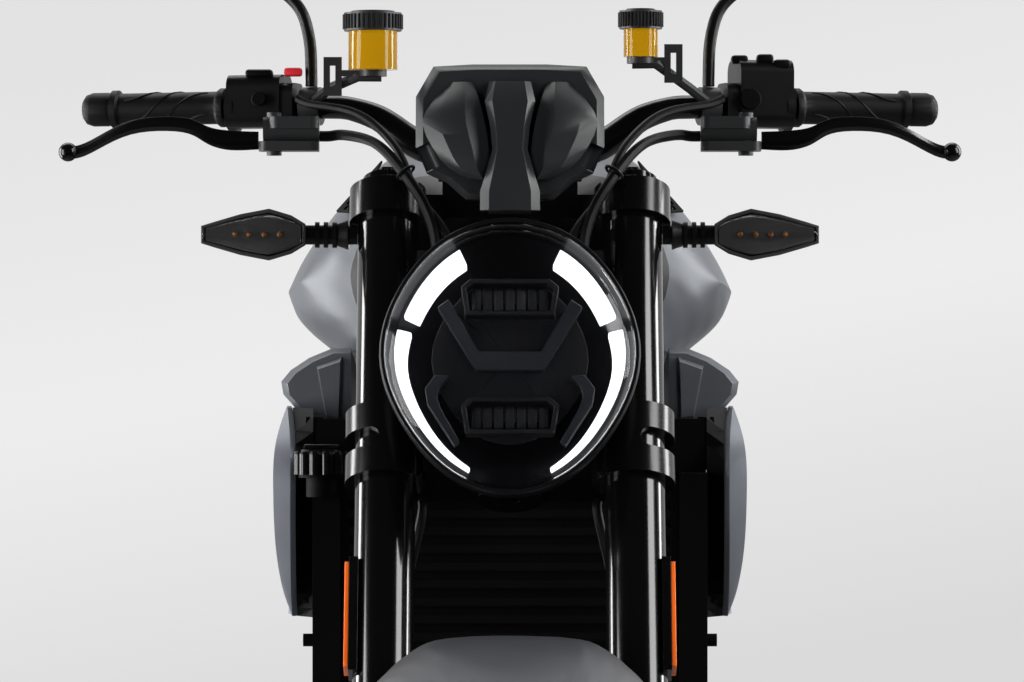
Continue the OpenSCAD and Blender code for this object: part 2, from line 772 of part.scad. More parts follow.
// Outer face of the guard's stays, inside the fork tubes
mudguard_stay_x = fork_x - fork_tube_r - 4.5;
mudguard_rows = [
    [-46, 40, 0], [-38, 62, 4], [-24, 84, 8], [-8, 104, 14], [6, 122, 22], [15, 128, 26], [16, 80, 12],
    [34, 76, 10], [52, 72, 8], [66, 60, 4], [72, 46, 2]
];

function mudguard_point(a, x, drop, up) =
    let (r = mudguard_r + up - drop) [x, r * sin(a), axle_z + r * cos(a)];
// How far the guard falls away at x out of its half width w
function guard_drop(x, w, flare) =
    let (flat = 0.52 * w, e = max(abs(x) - flat, 0)) e * 0.42 + flare * pow(e / (w - flat), 2);
function mudguard_ring(row) =
    let (w = row[1], steps = [-1, -0.86, -0.7, -0.5, -0.25, 0, 0.25, 0.5, 0.7, 0.86, 1])
    concat(
        [for (s = steps) mudguard_point(row[0], s * w, guard_drop(s * w, w, row[2]), panel_wall)],
        [for (s = reversed(steps)) mudguard_point(row[0], s * w, guard_drop(s * w, w, row[2]), 0)]
    );

function guard_side_z(y) = axle_z + sqrt(pow(mudguard_r - guard_side_drop, 2) - y * y);

module front_mudguard() {
    color("#3d4247") {
        skin([for (row = mudguard_rows) mudguard_ring(row)], thin = true);
        both_sides() {
            side_plate(mudguard_stay_x - 5, mudguard_stay_x) polygon([
                [80, guard_side_z(80) + 11], [126, guard_side_z(126) + 15], [58, 414], [42, 360],
                [24, 356], [22, 374]
            ]);
            translate([mudguard_stay_x - 1, 30, 366]) rotate([0, 90, 0])
                cylinder(r = 7, h = fork_x - fork_leg_r - 4.3 - mudguard_stay_x + 1, $fn = 32);
        }
    }
}

// Front brakes

module front_calipers() {
    color("#2a2a2c") both_sides() difference() {
        intersection() {
            translate([0, 0, axle_z]) side_plate(front_disc_x - 24, fork_x - 16.3)
                polygon([[66, 84], [104, 40], [150, 72], [160, 102], [136, 146], [108, 152], [74, 128]]);
            at_front_axle() cylinder(r = rim_r - 14, h = 2 * fork_gap, $fn = 96);
        }
        translate([front_disc_x - disc_t / 2 - 5, 0, axle_z]) rotate([0, 90, 0])
            cylinder(r = front_disc_r + 5, h = disc_t + 10, $fn = 96);
    }
}

module fork_reflectors() {
    color("#e8601c") stem_frame() both_sides()
        translate([fork_x + fork_tube_r + 3.2, -fork_offset - 20, reflector_z + 4])
            cube([4, 26, reflector_h - 8]);
}

// Brake and clutch lines: from the bar to the lower yoke, and on from there to the calipers
module front_hoses() {
    upper = [
        [perch_x - 0.4, 349, 1076], [168, 349, 1076], [154, 344, 1077], [124, 312, 1068],
        [98, 280, 1040], [74, 266, 1000],
        [66, 258, 950], from_stem([70, -18, 906]), from_stem([70, -18, 880]), from_stem([70, -18, 864.5])
    ];
    lower = [
        from_stem([80, 4, lower_yoke_z - 0.3]), from_stem([80, 4, lower_yoke_z - 14]),
        from_stem([94, 30, 740]), [102, 196, 600], [98, 158, 510],
        [86, 119, 468], [86, 118, 452]
    ];
    switch_wire = [[199, 372, 1112], [186, 362, 1106], [140, 330, 1096], [104, 292, 1062],
        [86, 276, 1020], [56, 262, 980], [54, 258, 940]];
    color("#121213") both_sides() {
        swept_bar(smooth_run(upper, 3), 5, 8);
        swept_bar(smooth_run(lower, 3), 4.5, 8);
        swept_bar(smooth_run(switch_wire, 3), 4, 8);
    }
}

// Frame and engine

crank = [700, 330];
front_lean = 21;
front_dir = [-cos(front_lean), sin(front_lean)];
rear_dir = [sin(front_lean), cos(front_lean)];
front_deck = 165;
rear_deck = 150;
pivot_yz = [985, 385];
pivot_r = 12;
case_left = 92;
case_right = -105;
beam_in = 112;
beam_out = 132;
beam_knee = [560, 760];
beam_front = [470, 500];
beam_rear = [790, 640];
head_half = 80;

module frame_limb(a, b, ra, rb, xa, xb) {
    hull() {
        translate([xa, a.x, a.y]) rotate([0, 90, 0]) cylinder(r = ra, h = beam_out - beam_in, $fn = 32);
        translate([xb, b.x, b.y]) rotate([0, 90, 0]) cylinder(r = rb, h = beam_out - beam_in, $fn = 32);
    }
}

module front_frame() {
    color("#1c1d1f") difference() {
        union() {
            stem_frame() translate([0, 0, lower_yoke_z + lower_yoke_h + 6])
                cylinder(r = 27, h = 180, $fn = round_fn);
            hull() {
                stem_frame() translate([-22, 6, lower_yoke_z + lower_yoke_h + 16]) cube([44, 18, 130]);
                translate([-64, 432, 800]) cube([128, 20, 70]);
            }
            both_sides() {
                frame_limb([442, 835], beam_knee, 34, 32, 44, beam_in);
                frame_limb(beam_knee, beam_front, 30, 24, beam_in, beam_in);
                frame_limb(beam_knee, beam_rear, 28, 24, beam_in, beam_in);
                translate([beam_in - 2, 600, 745]) cylinder(r = 11, h = 870 - 745 - 1.6, $fn = 32);
                for (p = [beam_front, beam_rear])
                    translate([head_half + 0.3, p.x, p.y]) rotate([0, 90, 0])
                        cylinder(r = 16, h = 36, $fn = 32);
            }
        }
        stem_frame() translate([0, 0, 800]) cylinder(r = stem_r + bearing_gap, h = 400, $fn = round_fn);
    }
}

module engine_case() {
    front_mid = crank + front_dir * front_deck;
    rear_mid = crank + rear_dir * rear_deck;
    color("#26272a") difference() {
        side_plate(case_right, case_left) polygon([
            front_mid - rear_dir * 80, front_mid + rear_dir * 80, rear_mid + front_dir * 80,
                rear_mid - front_dir * 80,
            [960, 455], [1012, 428], [1014, 342], [960, 235], [880, 178], [590, 178], [535, 230]
        ]);
        translate([-200, pivot_yz.x, pivot_yz.y]) rotate([0, 90, 0])
            cylinder(r = pivot_r + seat_gap, h = 400, $fn = round_fn);
    }
}

sprocket_x = 108;
output_yz = [925, 372];
clutch_yz = [815, 318];

// A round cover with a flange, a drum and a raised middle
module stepped_cover(r, h) {
    rotate_extrude($fn = 64) polygon([
        [0, 0], [r, 0], [r, 9], [r - 9, 11], [r - 12, h - 12], [r - 20, h - 5], [r * 0.55, h - 5],
        [r * 0.5, h], [0, h]
    ]);
}

module engine_covers() {
    color("#1f2022") {
        translate([case_right - 0.2, clutch_yz.x, clutch_yz.y]) rotate([0, -90, 0]) stepped_cover(94, 45);
        translate([case_right - 0.2, crank.x - 40, crank.y - 10]) rotate([0, -90, 0])
            stepped_cover(62, 26);
        translate([case_left + 0.2, crank.x, crank.y]) rotate([0, 90, 0]) stepped_cover(84, 54);
        side_plate(124, 133) polygon([[850, 312], [850, 412], [905, 416], [938, 404], [946, 345],
            [920, 318]]);
        for (p = [[862, 326], [862, 400]]) translate([case_left + 0.2, p.x, p.y]) rotate([0, 90, 0])
            cylinder(r = 8, h = 34, $fn = 24);
        translate([case_left + 0.2, stand_pivot.y - 20, stand_pivot.z - 42]) cube([26, 42, 26]);
        along(stand_pivot - 34 * stand_axis, stand_pivot) {
            cylinder(r = 15, h = 22, $fn = round_fn);
            cylinder(r = 8, h = 34 + 16, $fn = round_fn);
        }
    }
}

module finned_barrel(d0, d1) {
    fins = 6;
    pitch = (d1 - d0) / fins;
    translate([-56, -56, d0]) soft_box([112, 112, d1 - d0], 14);
    for (i = [0 : fins - 1]) translate([-70, -70, d0 + (i + 0.3) * pitch])
        soft_box([140, 140, pitch * 0.4], 20);
}

module cylinder_stack(dir, deck) {
    base = [0, crank.x, crank.y];
    along(base, base + [0, dir.x, dir.y]) rotate([0, 0, 90]) {
        finned_barrel(deck + 0.2, deck + 95);
        translate([-head_half, -74, deck + 94]) soft_box([2 * head_half, 148, 62], 16);
        translate([-60, -60, deck + 155]) soft_box([120, 120, 24], 22);
    }
}

module cylinders() {
    color("#2b2c2f") {
        cylinder_stack(front_dir, front_deck);
        cylinder_stack(rear_dir, rear_deck);
    }
}

radiator_y = 345;
radiator_t = 32;

// Inner edge of the liners, just outside the core's end tanks
liner_in = radiator_half_w + 26.3;
// Rows give height, inner and outer face, and where the panel starts and ends
shroud_rows = [
    [626, 200, 205, 392, 440], [648, 200, 213, 366, 500], [690, 200, 220, 352, 548],
    [740, 200, 222, 346, 566], [775, 200, 222, 352, 566], [800, 202, 219, 382, 560], [822, 206, 213, 424, 548]
];

module radiator() {
    color("#131314") {
        difference() {
            translate([-radiator_half_w, radiator_y, 490]) cube([2 * radiator_half_w, radiator_t, 268]);
            for (i = [0 : 15]) translate([-radiator_half_w + 8, radiator_y - 5, 498 + i * 16.4])
                cube([2 * radiator_half_w - 16, 11, 9]);
        }
        both_sides() {
            translate([radiator_half_w, radiator_y - 4, 486]) cube([26, radiator_t + 8, 276]);
            translate([radiator_half_w + 20, radiator_y + 6, 606]) rotate([0, 90, 0])
                cylinder(r = 6, h = 15, $fn = 24);
            translate([beam_in + 10, radiator_y + radiator_t - 2, 620]) rotate([-90, 0, 0])
                cylinder(r = 8, h = 105.6, $fn = 32);
        }
        translate([-radiator_half_w - 17, radiator_y - 5, 740]) cylinder(r = 15, h = 22, $fn = round_fn);
        translate([-radiator_half_w - 17, radiator_y - 5, 758]) cylinder(r = 22, h = 23, $fn = round_fn);
        both_sides() translate([138, radiator_y + 28, 750]) cube([46, 4, 62]);
    }
}

// Sheets that close the gap between the core and the shrouds
module radiator_liners() {
    color("#121213") both_sides() skin([
        for (r = smooth_run(shroud_rows, 2)) [
            [liner_in, radiator_y + 27, r[0]], [r[1] + 0.1, r[3] + 4.6, r[0]],
            [r[1] - 1.1, r[3] + 8.5, r[0]], [liner_in, radiator_y + 31, r[0]]
        ]
    ]);
}

module radiator_shrouds() {
    color("#3d4247") both_sides() {
        skin([
            for (r = smooth_run(shroud_rows, 2)) [
                [r[1], r[3] + 6, r[0]], [r[1] + 7, r[4], r[0]], [r[1] + 7 + panel_wall, r[4] + 2, r[0]],
                [r[2], blend(r[3], r[4], 0.45), r[0]], [r[2] - 1, r[3] + 3, r[0]], [r[1] + 5, r[3], r[0]]
            ]
        ]);
    }
}

// Half outline of a wing from the front, and of the raised facet on it
intake_half = [
    [152, 878], [170, 878], [192, 869], [210, 857], [219, 846], [217, 834], [203, 818], [182, 797],
    [166, 790], [152, 782]
];
intake_facet = [[160, 872], [186, 863], [176, 808], [162, 806]];

module intake_panels() {
    color("#3d4247") both_sides() {
        skin([
            for (r = [[462, 0.9, 0], [474, 1, 0], [530, 1, 7], [560, 1, 8], [640, 0.8, 8]])
                [for (q = reversed(intake_half))
                    [blend(152, q.x, r[1]), r[0], blend(830, q.y, r[1]) - (q.y > 840 ? r[2] : 0)]]
        ]);
        skin([
            for (r = [[452, 0.8], [466, 1]])
                [for (q = reversed(intake_facet)) [blend(170, q.x, r[1]), r[0], blend(838, q.y, r[1])]]
        ]);
        translate([beam_out + 0.3, beam_knee.x, 786]) rotate([0, 90, 0]) cylinder(r = 5, h = 24, $fn = 24);
    }
}

// Tank, seats and tail

module airbox() {
    color("#1a1a1b") side_plate(0.4 - beam_in, beam_in - 0.4)
        polygon([[622, 864], [690, 856], [790, 834], [872, 800], [880, 740], [800, 690], [622, 690]]);
}

// Rows give y, top height, shoulder, widest point and base, each as half width and height
tank_rows = [
    [470, 1030, 84, 1014, 104, 955, 92, 890], [520, 1060, 120, 1042, 178, 950, 142, 878],
    [600, 1078, 130, 1058, 219, 935, 163, 870], [690, 1072, 132, 1038, 208, 922, 160, 862],
    [790, 1028, 118, 986, 164, 890, 138, 842], [880, 942, 90, 908, 112, 852, 100, 806],
    [956, 850, 66, 838, 78, 812, 70, 790]
];
function tank_ring(r) =
    let (
        k = tank_half_w / 219,
        half = concat([[0, r[7]]], smooth_run([
            [r[6] * k, r[7]], [r[4] * k, r[5]], [r[2] * k, r[3]],
            [r[2] * k * 0.5, blend(r[3], r[1], 0.75)], [0, r[1]]
        ], 3))
    )
    [for (q = whole_outline(half)) [q.x, r[0], q.y]];

cap_y = 610;
cap_z = 1084;
cap_r = 42;
filler_r = 30;

module fuel_tank() {
    color("#3d4247") difference() {
        union() {
            skin([for (r = smooth_run(tank_rows, 2)) tank_ring(r)]);
            translate([0, cap_y, cap_z - 40]) cylinder(r = cap_r + 6, h = 40, $fn = round_fn);
        }
        translate([0, cap_y, cap_z - 130]) cylinder(r = filler_r, h = 200, $fn = round_fn);
    }
}

cap_hinge_y = cap_y - cap_r - 9;

module fuel_cap() {
    color("#1b1b1d") {
        translate([0, cap_y, cap_z + 0.3]) cylinder(r = cap_r, h = 8, $fn = round_fn);
        translate([-9, cap_hinge_y, cap_z + 0.3]) cube([18, 16, 8]);
        translate([-9, cap_hinge_y, cap_z + 4.3]) rotate([0, 90, 0]) cylinder(r = 4, h = 18, $fn = 24);
    }
}

// A honeycomb panel over the tank's front shoulder, by its three corners
grille_low = [147, 505, 1008];
grille_out = [168, 545, 1010];
grille_top = [124, 562, 1060];
grille_cell = 8;
grille_face = unit(cross(grille_out - grille_low, grille_top - grille_low));
grille_tip = acos(grille_face.z);
grille_turn = atan2(grille_face.y, grille_face.x);
// A corner as x and y in the panel's own plane
function grille_flat(p) = let(q = p - grille_low, across = [cos(grille_turn), sin(grille_turn)]) [
    cos(grille_tip) * (q.x * across.x + q.y * across.y) - sin(grille_tip) * q.z,
    q.y * across.x - q.x * across.y
];
grille_edge = [for (p = [grille_low, grille_out, grille_top]) grille_flat(p)];
// How far a point in the panel's plane lies inside its nearest edge
function grille_room(q) = min([
    for (i = [0 : 2]) let(from = grille_edge[i], run = grille_edge[(i + 1) % 3] - from)
        cross(run, q - from) / norm(run)
]);
module tank_grilles() {
    color("#0e0e0f") both_sides()
        translate(grille_low) rotate([0, grille_tip, grille_turn]) translate([0, 0, -0.7])
            linear_extrude(2.7) difference() {
                polygon(grille_edge);
                for (i = [-12 : 12], j = [-12 : 12])
                    let(q = [i * grille_cell * 0.87, j * grille_cell + (i % 2 == 0 ? 0 : grille_cell / 2)])
                        if (grille_room(q) > grille_cell * 0.6)
                            translate(q) circle(r = grille_cell * 0.48, $fn = 6);
            }
}

seat_base_z = 784;
pillion_base_z = 826;
// Rows give y, half width, base height and top height
rider_rows = [
    [962, 66, seat_base_z, seat_base_z + 52], [1010, 92, seat_base_z, seat_base_z + 34],
    [1090, 132, seat_base_z, seat_base_z + 34], [1170, 138, seat_base_z, seat_base_z + 40],
    [1240, 122, seat_base_z, seat_base_z + 60], [1262, 112, seat_base_z, seat_base_z + 74]
];
pillion_rows = [
    [1268, 104, pillion_base_z, pillion_base_z + 40], [1300, 106, pillion_base_z, pillion_base_z + 52],
    [1380, 98, pillion_base_z, pillion_base_z + 58], [1450, 82, pillion_base_z, pillion_base_z + 58],
    [1484, 66, pillion_base_z, pillion_base_z + 46]
];
function cushion_ring(r) =
    let (w = r[1], h = r[3] - r[2])
    [for (q = whole_outline([
        [0, 0], [w * 0.86, 0], [w * 0.98, h * 0.25], [w, h * 0.5], [w * 0.9, h * 0.84],
        [w * 0.6, h * 0.98], [0, h]
    ])) [q.x, r[0], r[2] + q.y]];

module seats() {
    color("#19191a") {
        skin([for (r = smooth_run(rider_rows, 2)) cushion_ring(r)]);
        skin([for (r = smooth_run(pillion_rows, 2)) cushion_ring(r)]);
    }
}

// Top of the tail under each seat
seat_shelf = seat_base_z - 0.4;
pillion_shelf = pillion_base_z - 0.4;
tail_rows = [
    [900, 56, seat_shelf - 64, seat_shelf], [960, 76, seat_shelf - 68, seat_shelf],
    [1080, 112, seat_shelf - 72, seat_shelf],
    [1180, 118, seat_shelf - 78, seat_shelf], [1264, 104, seat_shelf - 68, seat_shelf],
    [1265, 104, seat_shelf - 68, pillion_shelf], [1360, 96, pillion_shelf - 84, pillion_shelf],
    [1440, 84, pillion_shelf - 58, pillion_shelf], [1496, 66, pillion_shelf - 40, pillion_shelf]
];

module tail_unit() {
    color("#26282b") {
        skin([
            for (r = tail_rows) [for (q = whole_outline([
                [0, r[2]], [r[1] * 0.55, r[2]], [r[1] * 0.9, blend(r[2], r[3], 0.35)],
                [r[1], blend(r[2], r[3], 0.7)], [r[1] * 0.94, r[3]], [0, r[3]]
            ])) [q.x, r[0], q.y]]
        ]);
        both_sides() {
            start = beam_rear + 24.6 * unit([170, 90]);
            swept_bar([[122, start.x, start.y], [118, 890, 694], [92, 1000, 742]], 12, 12);
        }
    }
}

module tail_lights() {
    color("#a01818") translate([-58, 1496.4, pillion_shelf - 34]) cube([116, 12, 26]);
}

module plate_holder() {
    color("#151516") {
        side_plate(-26, 26) polygon([
            [1392, 752], [1440, 767.4], [1480, 730], [1640, 672], [1708, 676], [1717, 640],
            [1640, 646], [1480, 706], [1420, 706]
        ]);
        translate([-95, 1703, 690]) rotate([16, 0, 0]) translate([0, 0, -180]) cube([190, 4, 180]);
        both_sides() {
            translate([20, 1672, 658]) rotate([0, 90, 0]) cylinder(r = 6, h = 90, $fn = 24);
            translate([108, 1672, 658]) rotate([0, 90, 0]) cylinder(r1 = 12, r2 = 8, h = 52, $fn = 24);
        }
    }
}

// Exhaust

front_head_mid = crank + front_dir * (front_deck + 124);
rear_head_mid = crank + rear_dir * (rear_deck + 124);
silencer_y = 1040;
silencer_x = -212;

// A point straight out of a port
function port_step(x, port, dir, d) = [x, port.x + dir.x * d, port.y + dir.y * d];

module exhaust_pipes() {
    front_port = front_head_mid - rear_dir * 74.4;
    rear_port = rear_head_mid - front_dir * 74.4;
    color("#4a4038") {
        swept_bar(smooth_run([
            [-10, front_port.x, front_port.y], port_step(-10, front_port, -rear_dir, 14),
                port_step(-10, front_port, -rear_dir, 34), [-20, front_port.x + 2, 262],
            [-40, 470, 158], [-60, 620, 134], [-90, 820, 134], [-136, 950, 168], [-190, 1004, 262],
            [silencer_x, silencer_y - 26, 312], [silencer_x, silencer_y - 12, 312],
            [silencer_x, silencer_y - 0.4, 312]
        ], 3), 20, 12);
        swept_bar(smooth_run([
            [-20, rear_port.x, rear_port.y], port_step(-20, rear_port, -front_dir, 14),
                port_step(-20, rear_port, -front_dir, 34), [-96, 968, 532], [-174, 990, 456],
            [-206, 1004, 396], [silencer_x, silencer_y - 26, 362], [silencer_x, silencer_y - 12, 362],
            [silencer_x, silencer_y - 0.4, 362]
        ], 3), 20, 12);
    }
}

silencer_rows = [[1040, 0.62, 0, 340], [1062, 0.96, 0, 346], [1100, 1, 0, 354], [1250, 1, 4, 400],
    [1290, 0.92, 5, 413]];

module silencer() {
    color("#1e1e20") {
        difference() {
            skin([
                for (r = silencer_rows)
                    [for (a = [0 : -15 : -345]) [
                        silencer_x - r[2] + r[1] * 46 * sign(cos(a)) * pow(abs(cos(a)), 0.7), r[0],
                        r[3] + r[1] * 68 * sign(sin(a)) * pow(abs(sin(a)), 0.7)
                    ]]
            ]);
            for (z = [384, 442]) translate([silencer_x - 5, 1270, z]) rotate([-90, 0, 0])
                cylinder(r = 21, h = 40, $fn = 32);
        }
        translate([-152.3, 1120, 378]) rotate([0, -90, 0]) cylinder(r = 10, h = 20, $fn = 24);
    }
}

// Footrests and pedals

plate_in = 152;
plate_out = 160;

module footrests() {
    color("#1b1b1d") both_sides() {
        side_plate(plate_in, plate_out) polygon([[868, 456], [958, 462], [962, 420], [930, 350],
            [896, 342], [880, 380]]);
        translate([plate_out - 2, 912, 366]) rotate([0, 90, 0]) cylinder(r = 11, h = 100, $fn = 32);
    }
    color("#1b1b1d") {
        for (p = [[884, 432], [942, 440]]) {
            translate([case_left + 0.3, p.x, p.y]) rotate([0, 90, 0])
                cylinder(r = 8, h = plate_in - case_left, $fn = 24);
            translate([-plate_in - 2, p.x, p.y]) rotate([0, 90, 0])
                cylinder(r = 8, h = plate_in + case_right + 1.7, $fn = 24);
        }
        both_sides() {
            translate([plate_out - 1, 0, 0]) side_plate(0, 9)
                polygon([[902, 380], [924, 376], [924, 352], [900, 350], [760, 322], [752, 334]]);
            translate([plate_out + 4, 760, 330]) rotate([0, 90, 0]) cylinder(r = 9, h = 50, $fn = 24);
        }
    }
}

// Swingarm, shock and rear brake

arm_in = 122;
arm_out = 150;
spool_yz = [1398, 322];

module swingarm() {
    color("#212225") {
        difference() {
            union() {
                both_sides() rounded_link(pivot_yz, [wheelbase, rear_axle_z], 33, 30, arm_in, arm_out);
                translate([-arm_in - 1, 1040, 328]) cube([2 * arm_in + 2, 60, 58]);
                translate([-arm_out, pivot_yz.x, pivot_yz.y]) rotate([0, 90, 0])
                    cylinder(r = pivot_r, h = 2 * arm_out, $fn = round_fn);
            }
            at_rear_axle() cylinder(r = axle_r + seat_gap, h = 400, center = true, $fn = round_fn);
            both_sides() translate([arm_out - 18, spool_yz.x, spool_yz.y]) rotate([0, 90, 0])
                cylinder(r = 4, h = 20, $fn = round_fn);
        }
        at_rear_axle() difference() {
            cylinder(r = axle_r, h = 2 * arm_out + 30, center = true, $fn = round_fn);
            cylinder(r = axle_bore_r, h = 2 * arm_out + 60, center = true, $fn = round_fn);
        }
    }
}

// The shock's coil spring, from seat to seat
spring_turns = 6;
spring_steps = 10;
spring_low = 58;
spring_rise = 150;
spring_mid_r = 28;
spring_wire_r = 5.5;
spring_path = [
    for (i = [0 : spring_turns * spring_steps]) let(a = 360 * i / spring_steps) [
        spring_mid_r * cos(a), spring_mid_r * sin(a),
        spring_low + spring_rise * i / (spring_turns * spring_steps)
    ]
];

module rear_shock() {
    color("#2a2a2c") along([0, 1069, 389.2], [0, 1020, 660]) {
        cylinder(r = 14, h = 270, $fn = 32);
        translate([0, 0, 120]) cylinder(r = 20, h = 100, $fn = round_fn);
        for (z = [spring_low - 10, spring_low + spring_rise]) translate([0, 0, z])
            cylinder(r = spring_mid_r + 6, h = 10, $fn = round_fn);
        swept_bar(spring_path, spring_wire_r, 8);
    }
}

// Drive chain: two scalloped runs of side plates joined by rollers on the straight stretches

front_pitch_r = chain_pitch / (2 * sin(180 / front_teeth));
rear_pitch_r = chain_pitch / (2 * sin(180 / rear_teeth));
axle_yz = [wheelbase, rear_axle_z];
drive_span = norm(axle_yz - output_yz);
drive_tilt = atan2(axle_yz.y - output_yz.y, axle_yz.x - output_yz.x);
wrap_tilt = asin((rear_pitch_r - front_pitch_r) / drive_span);
run_len = sqrt(drive_span * drive_span - pow(rear_pitch_r - front_pitch_r, 2));
rear_wrap = rear_pitch_r * (180 + 2 * wrap_tilt) * PI / 180;
front_wrap = front_pitch_r * (180 - 2 * wrap_tilt) * PI / 180;
chain_links = round((2 * run_len + rear_wrap + front_wrap) / chain_pitch);
chain_step = (2 * run_len + rear_wrap + front_wrap) / chain_links;

// Where the chain's middle line is at distance s, set outwards by o: upper run, rear, lower run, front
function chain_place(s, o) =
    let (up = drive_tilt + wrap_tilt + 90, low = drive_tilt - wrap_tilt - 90)
    s < run_len
    ? output_yz + (front_pitch_r + o) * [cos(up), sin(up)] + s * [cos(up - 90), sin(up - 90)]
    : s < run_len + rear_wrap
    ? let (a = up - (s - run_len) / rear_pitch_r * 180 / PI) axle_yz + (rear_pitch_r + o)
        * [cos(a), sin(a)]
    : s < 2 * run_len + rear_wrap
    ? axle_yz + (rear_pitch_r + o) * [cos(low), sin(low)] + (s - run_len - rear_wrap)
        * [cos(low - 90), sin(low - 90)]
    : let (a = low - (s - 2 * run_len - rear_wrap) / front_pitch_r * 180 / PI)
        output_yz + (front_pitch_r + o) * [cos(a), sin(a)];

module chain_side(x0, x1) {
    steps = 3 * chain_links;
    side_plate(x0, x1) difference() {
        polygon([for (i = [0 : steps - 1]) chain_place(i * chain_step / 3, i % 3 == 0 ? 7.6 : 5.6)]);
        polygon([for (i = [0 : steps - 1]) chain_place(i * chain_step / 3, i % 3 == 0 ? -7.6 : -5.6)]);
    }
}

module drive_chain() {
    color("#5d5a54") {
        chain_side(sprocket_x + 5, sprocket_x + 8);
        chain_side(sprocket_x - 8, sprocket_x - 5);
        for (i = [0 : chain_links - 1]) {
            s = i * chain_step;
            if ((s > 30 && s < run_len - 48)
                || (s > run_len + rear_wrap + 48 && s < 2 * run_len + rear_wrap - 30)) {
                p = chain_place(s, 0);
                translate([sprocket_x - 6, p.x, p.y]) rotate([0, 90, 0]) cylinder(r = 5, h = 12, $fn = 6);
            }
        }
        translate([case_left + 0.3, output_yz.x, output_yz.y]) rotate([0, 90, 0]) {
            cylinder(r = 12, h = sprocket_x - case_left + 14, $fn = 32);
            translate([0, 0, sprocket_x - case_left - 4.6])
                cylinder(r = front_pitch_r + 3, h = 8.6, $fn = 45);
        }
    }
}

rear_disc_x = -92;

module rear_caliper() {
    color("#2a2a2c") difference() {
        translate([rear_disc_x - 29.5, wheelbase, rear_axle_z]) side_plate(0, 53)
            polygon([[-122, 77], [-86, 37], [-42, 81], [-72, 121], [-108, 115]]);
        translate([rear_disc_x - disc_t / 2 - 5, wheelbase, rear_axle_z]) rotate([0, 90, 0])
            cylinder(r = rear_disc_r + 5, h = disc_t + 10, $fn = 96);
    }
}

// Rear wheel

rear_hub_half = 104.4;

module rear_tyre() {
    color("#161616") at_rear_axle() tyre(rear_tyre_r, rear_tyre_w, rear_rim_half);
}
module rear_rim() {
    color("#1b1b1d") at_rear_axle() wheel(rear_rim_half, rear_hub_half, rear_hub_r, 34, 30);
}
module rear_sprocket() {
    color("#77756f") at_rear_axle() translate([0, 0, sprocket_x - 3.3]) linear_extrude(6.6) difference() {
        circle(r = rear_pitch_r + 3, $fn = rear_teeth * 3);
        circle(r = axle_r + bearing_gap, $fn = round_fn);
        for (i = [0 : 5]) rotate(60 * i) translate([66, 0]) circle(r = 17, $fn = 24);
    }
}
module rear_disc() {
    color("#8c8c8e") at_rear_axle() translate([0, 0, rear_disc_x])
        rotor(rear_disc_r, 30, 20, rear_hub_r + seat_gap);
}

// Side stand

stand_pivot = [130, 735, 222];
stand_foot_x = 302;
stand_foot = [stand_foot_x, 702, stand_foot_x * tan(lean) - park_z / cos(lean) + axle_z - front_tyre_r];
stand_folded = unit([0.06, 1, 0.02]);
stand_axis = unit(cross(unit(stand_foot - stand_pivot), stand_folded));

module side_stand() {
    color("#1a1a1b") difference() {
        union() {
            along(stand_pivot, stand_foot) cylinder(r1 = 9, r2 = 10, h = norm(stand_foot - stand_pivot)
                - 8, $fn = 32);
            along(stand_pivot - 9 * stand_axis, stand_pivot + stand_axis)
                cylinder(r = 19, h = 18, $fn = 32);
            translate(stand_foot) rotate([0, -lean, 0]) translate([-26, -34, 0])
                soft_box([52, 68, 9], 18);
        }
        along(stand_pivot - 30 * stand_axis, stand_pivot) cylinder(r = 8.3, h = 60, $fn = round_fn);
    }
}

// What is drawn

parked() front_tyre();
parked() front_rim();
parked() front_discs();
parked() fork_feet();
parked() fork_legs();
parked() fork_tubes();
parked() lower_yoke();
parked() upper_yoke();
parked() handlebar();
parked() grips();
parked() switch_housings();
parked() master_cylinders();
parked() levers();
parked() fluid_jars();
parked() mirrors();
parked() mirror_glass();
parked() headlight_shell();
parked() headlight_optics();
parked() headlight_trim();
parked() light_guides();
parked() headlight_lens();
parked() instrument_cowl();
parked() instrument_display();
parked() front_indicators();
parked() front_indicator_lenses();
parked() front_mudguard();
parked() front_calipers();
parked() fork_reflectors();
parked() front_hoses();
parked() front_frame();
parked() engine_case();
parked() engine_covers();
parked() cylinders();
parked() radiator();
parked() radiator_liners();
parked() radiator_shrouds();
parked() intake_panels();
parked() airbox();
parked() fuel_tank();
parked() fuel_cap();
parked() tank_grilles();
parked() seats();
parked() tail_unit();
parked() tail_lights();
parked() plate_holder();
parked() exhaust_pipes();
parked() silencer();
parked() footrests();
parked() swingarm();
parked() rear_shock();
parked() drive_chain();
parked() rear_caliper();
parked() rear_tyre();
parked() rear_rim();
parked() rear_sprocket();
parked() rear_disc();
parked() side_stand();
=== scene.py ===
"""Looks of a parked naked roadster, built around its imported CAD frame."""

import json
import math

import bmesh
import bpy
from mathutils import Matrix, Vector


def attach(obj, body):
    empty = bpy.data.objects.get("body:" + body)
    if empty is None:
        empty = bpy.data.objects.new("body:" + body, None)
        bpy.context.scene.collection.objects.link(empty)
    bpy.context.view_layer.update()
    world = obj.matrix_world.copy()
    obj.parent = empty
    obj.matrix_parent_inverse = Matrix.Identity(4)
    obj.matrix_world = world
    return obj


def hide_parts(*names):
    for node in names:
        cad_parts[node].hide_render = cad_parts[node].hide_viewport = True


bl_info = {
    "name": "Parked roadster",
    "version": (1, 0, 0),
    "blender": (4, 5, 0),
    "location": "View3D > Sidebar > Roadster",
    "description": "Finishes the packed roadster with materials, small parts and a studio",
    "category": "Object",
}

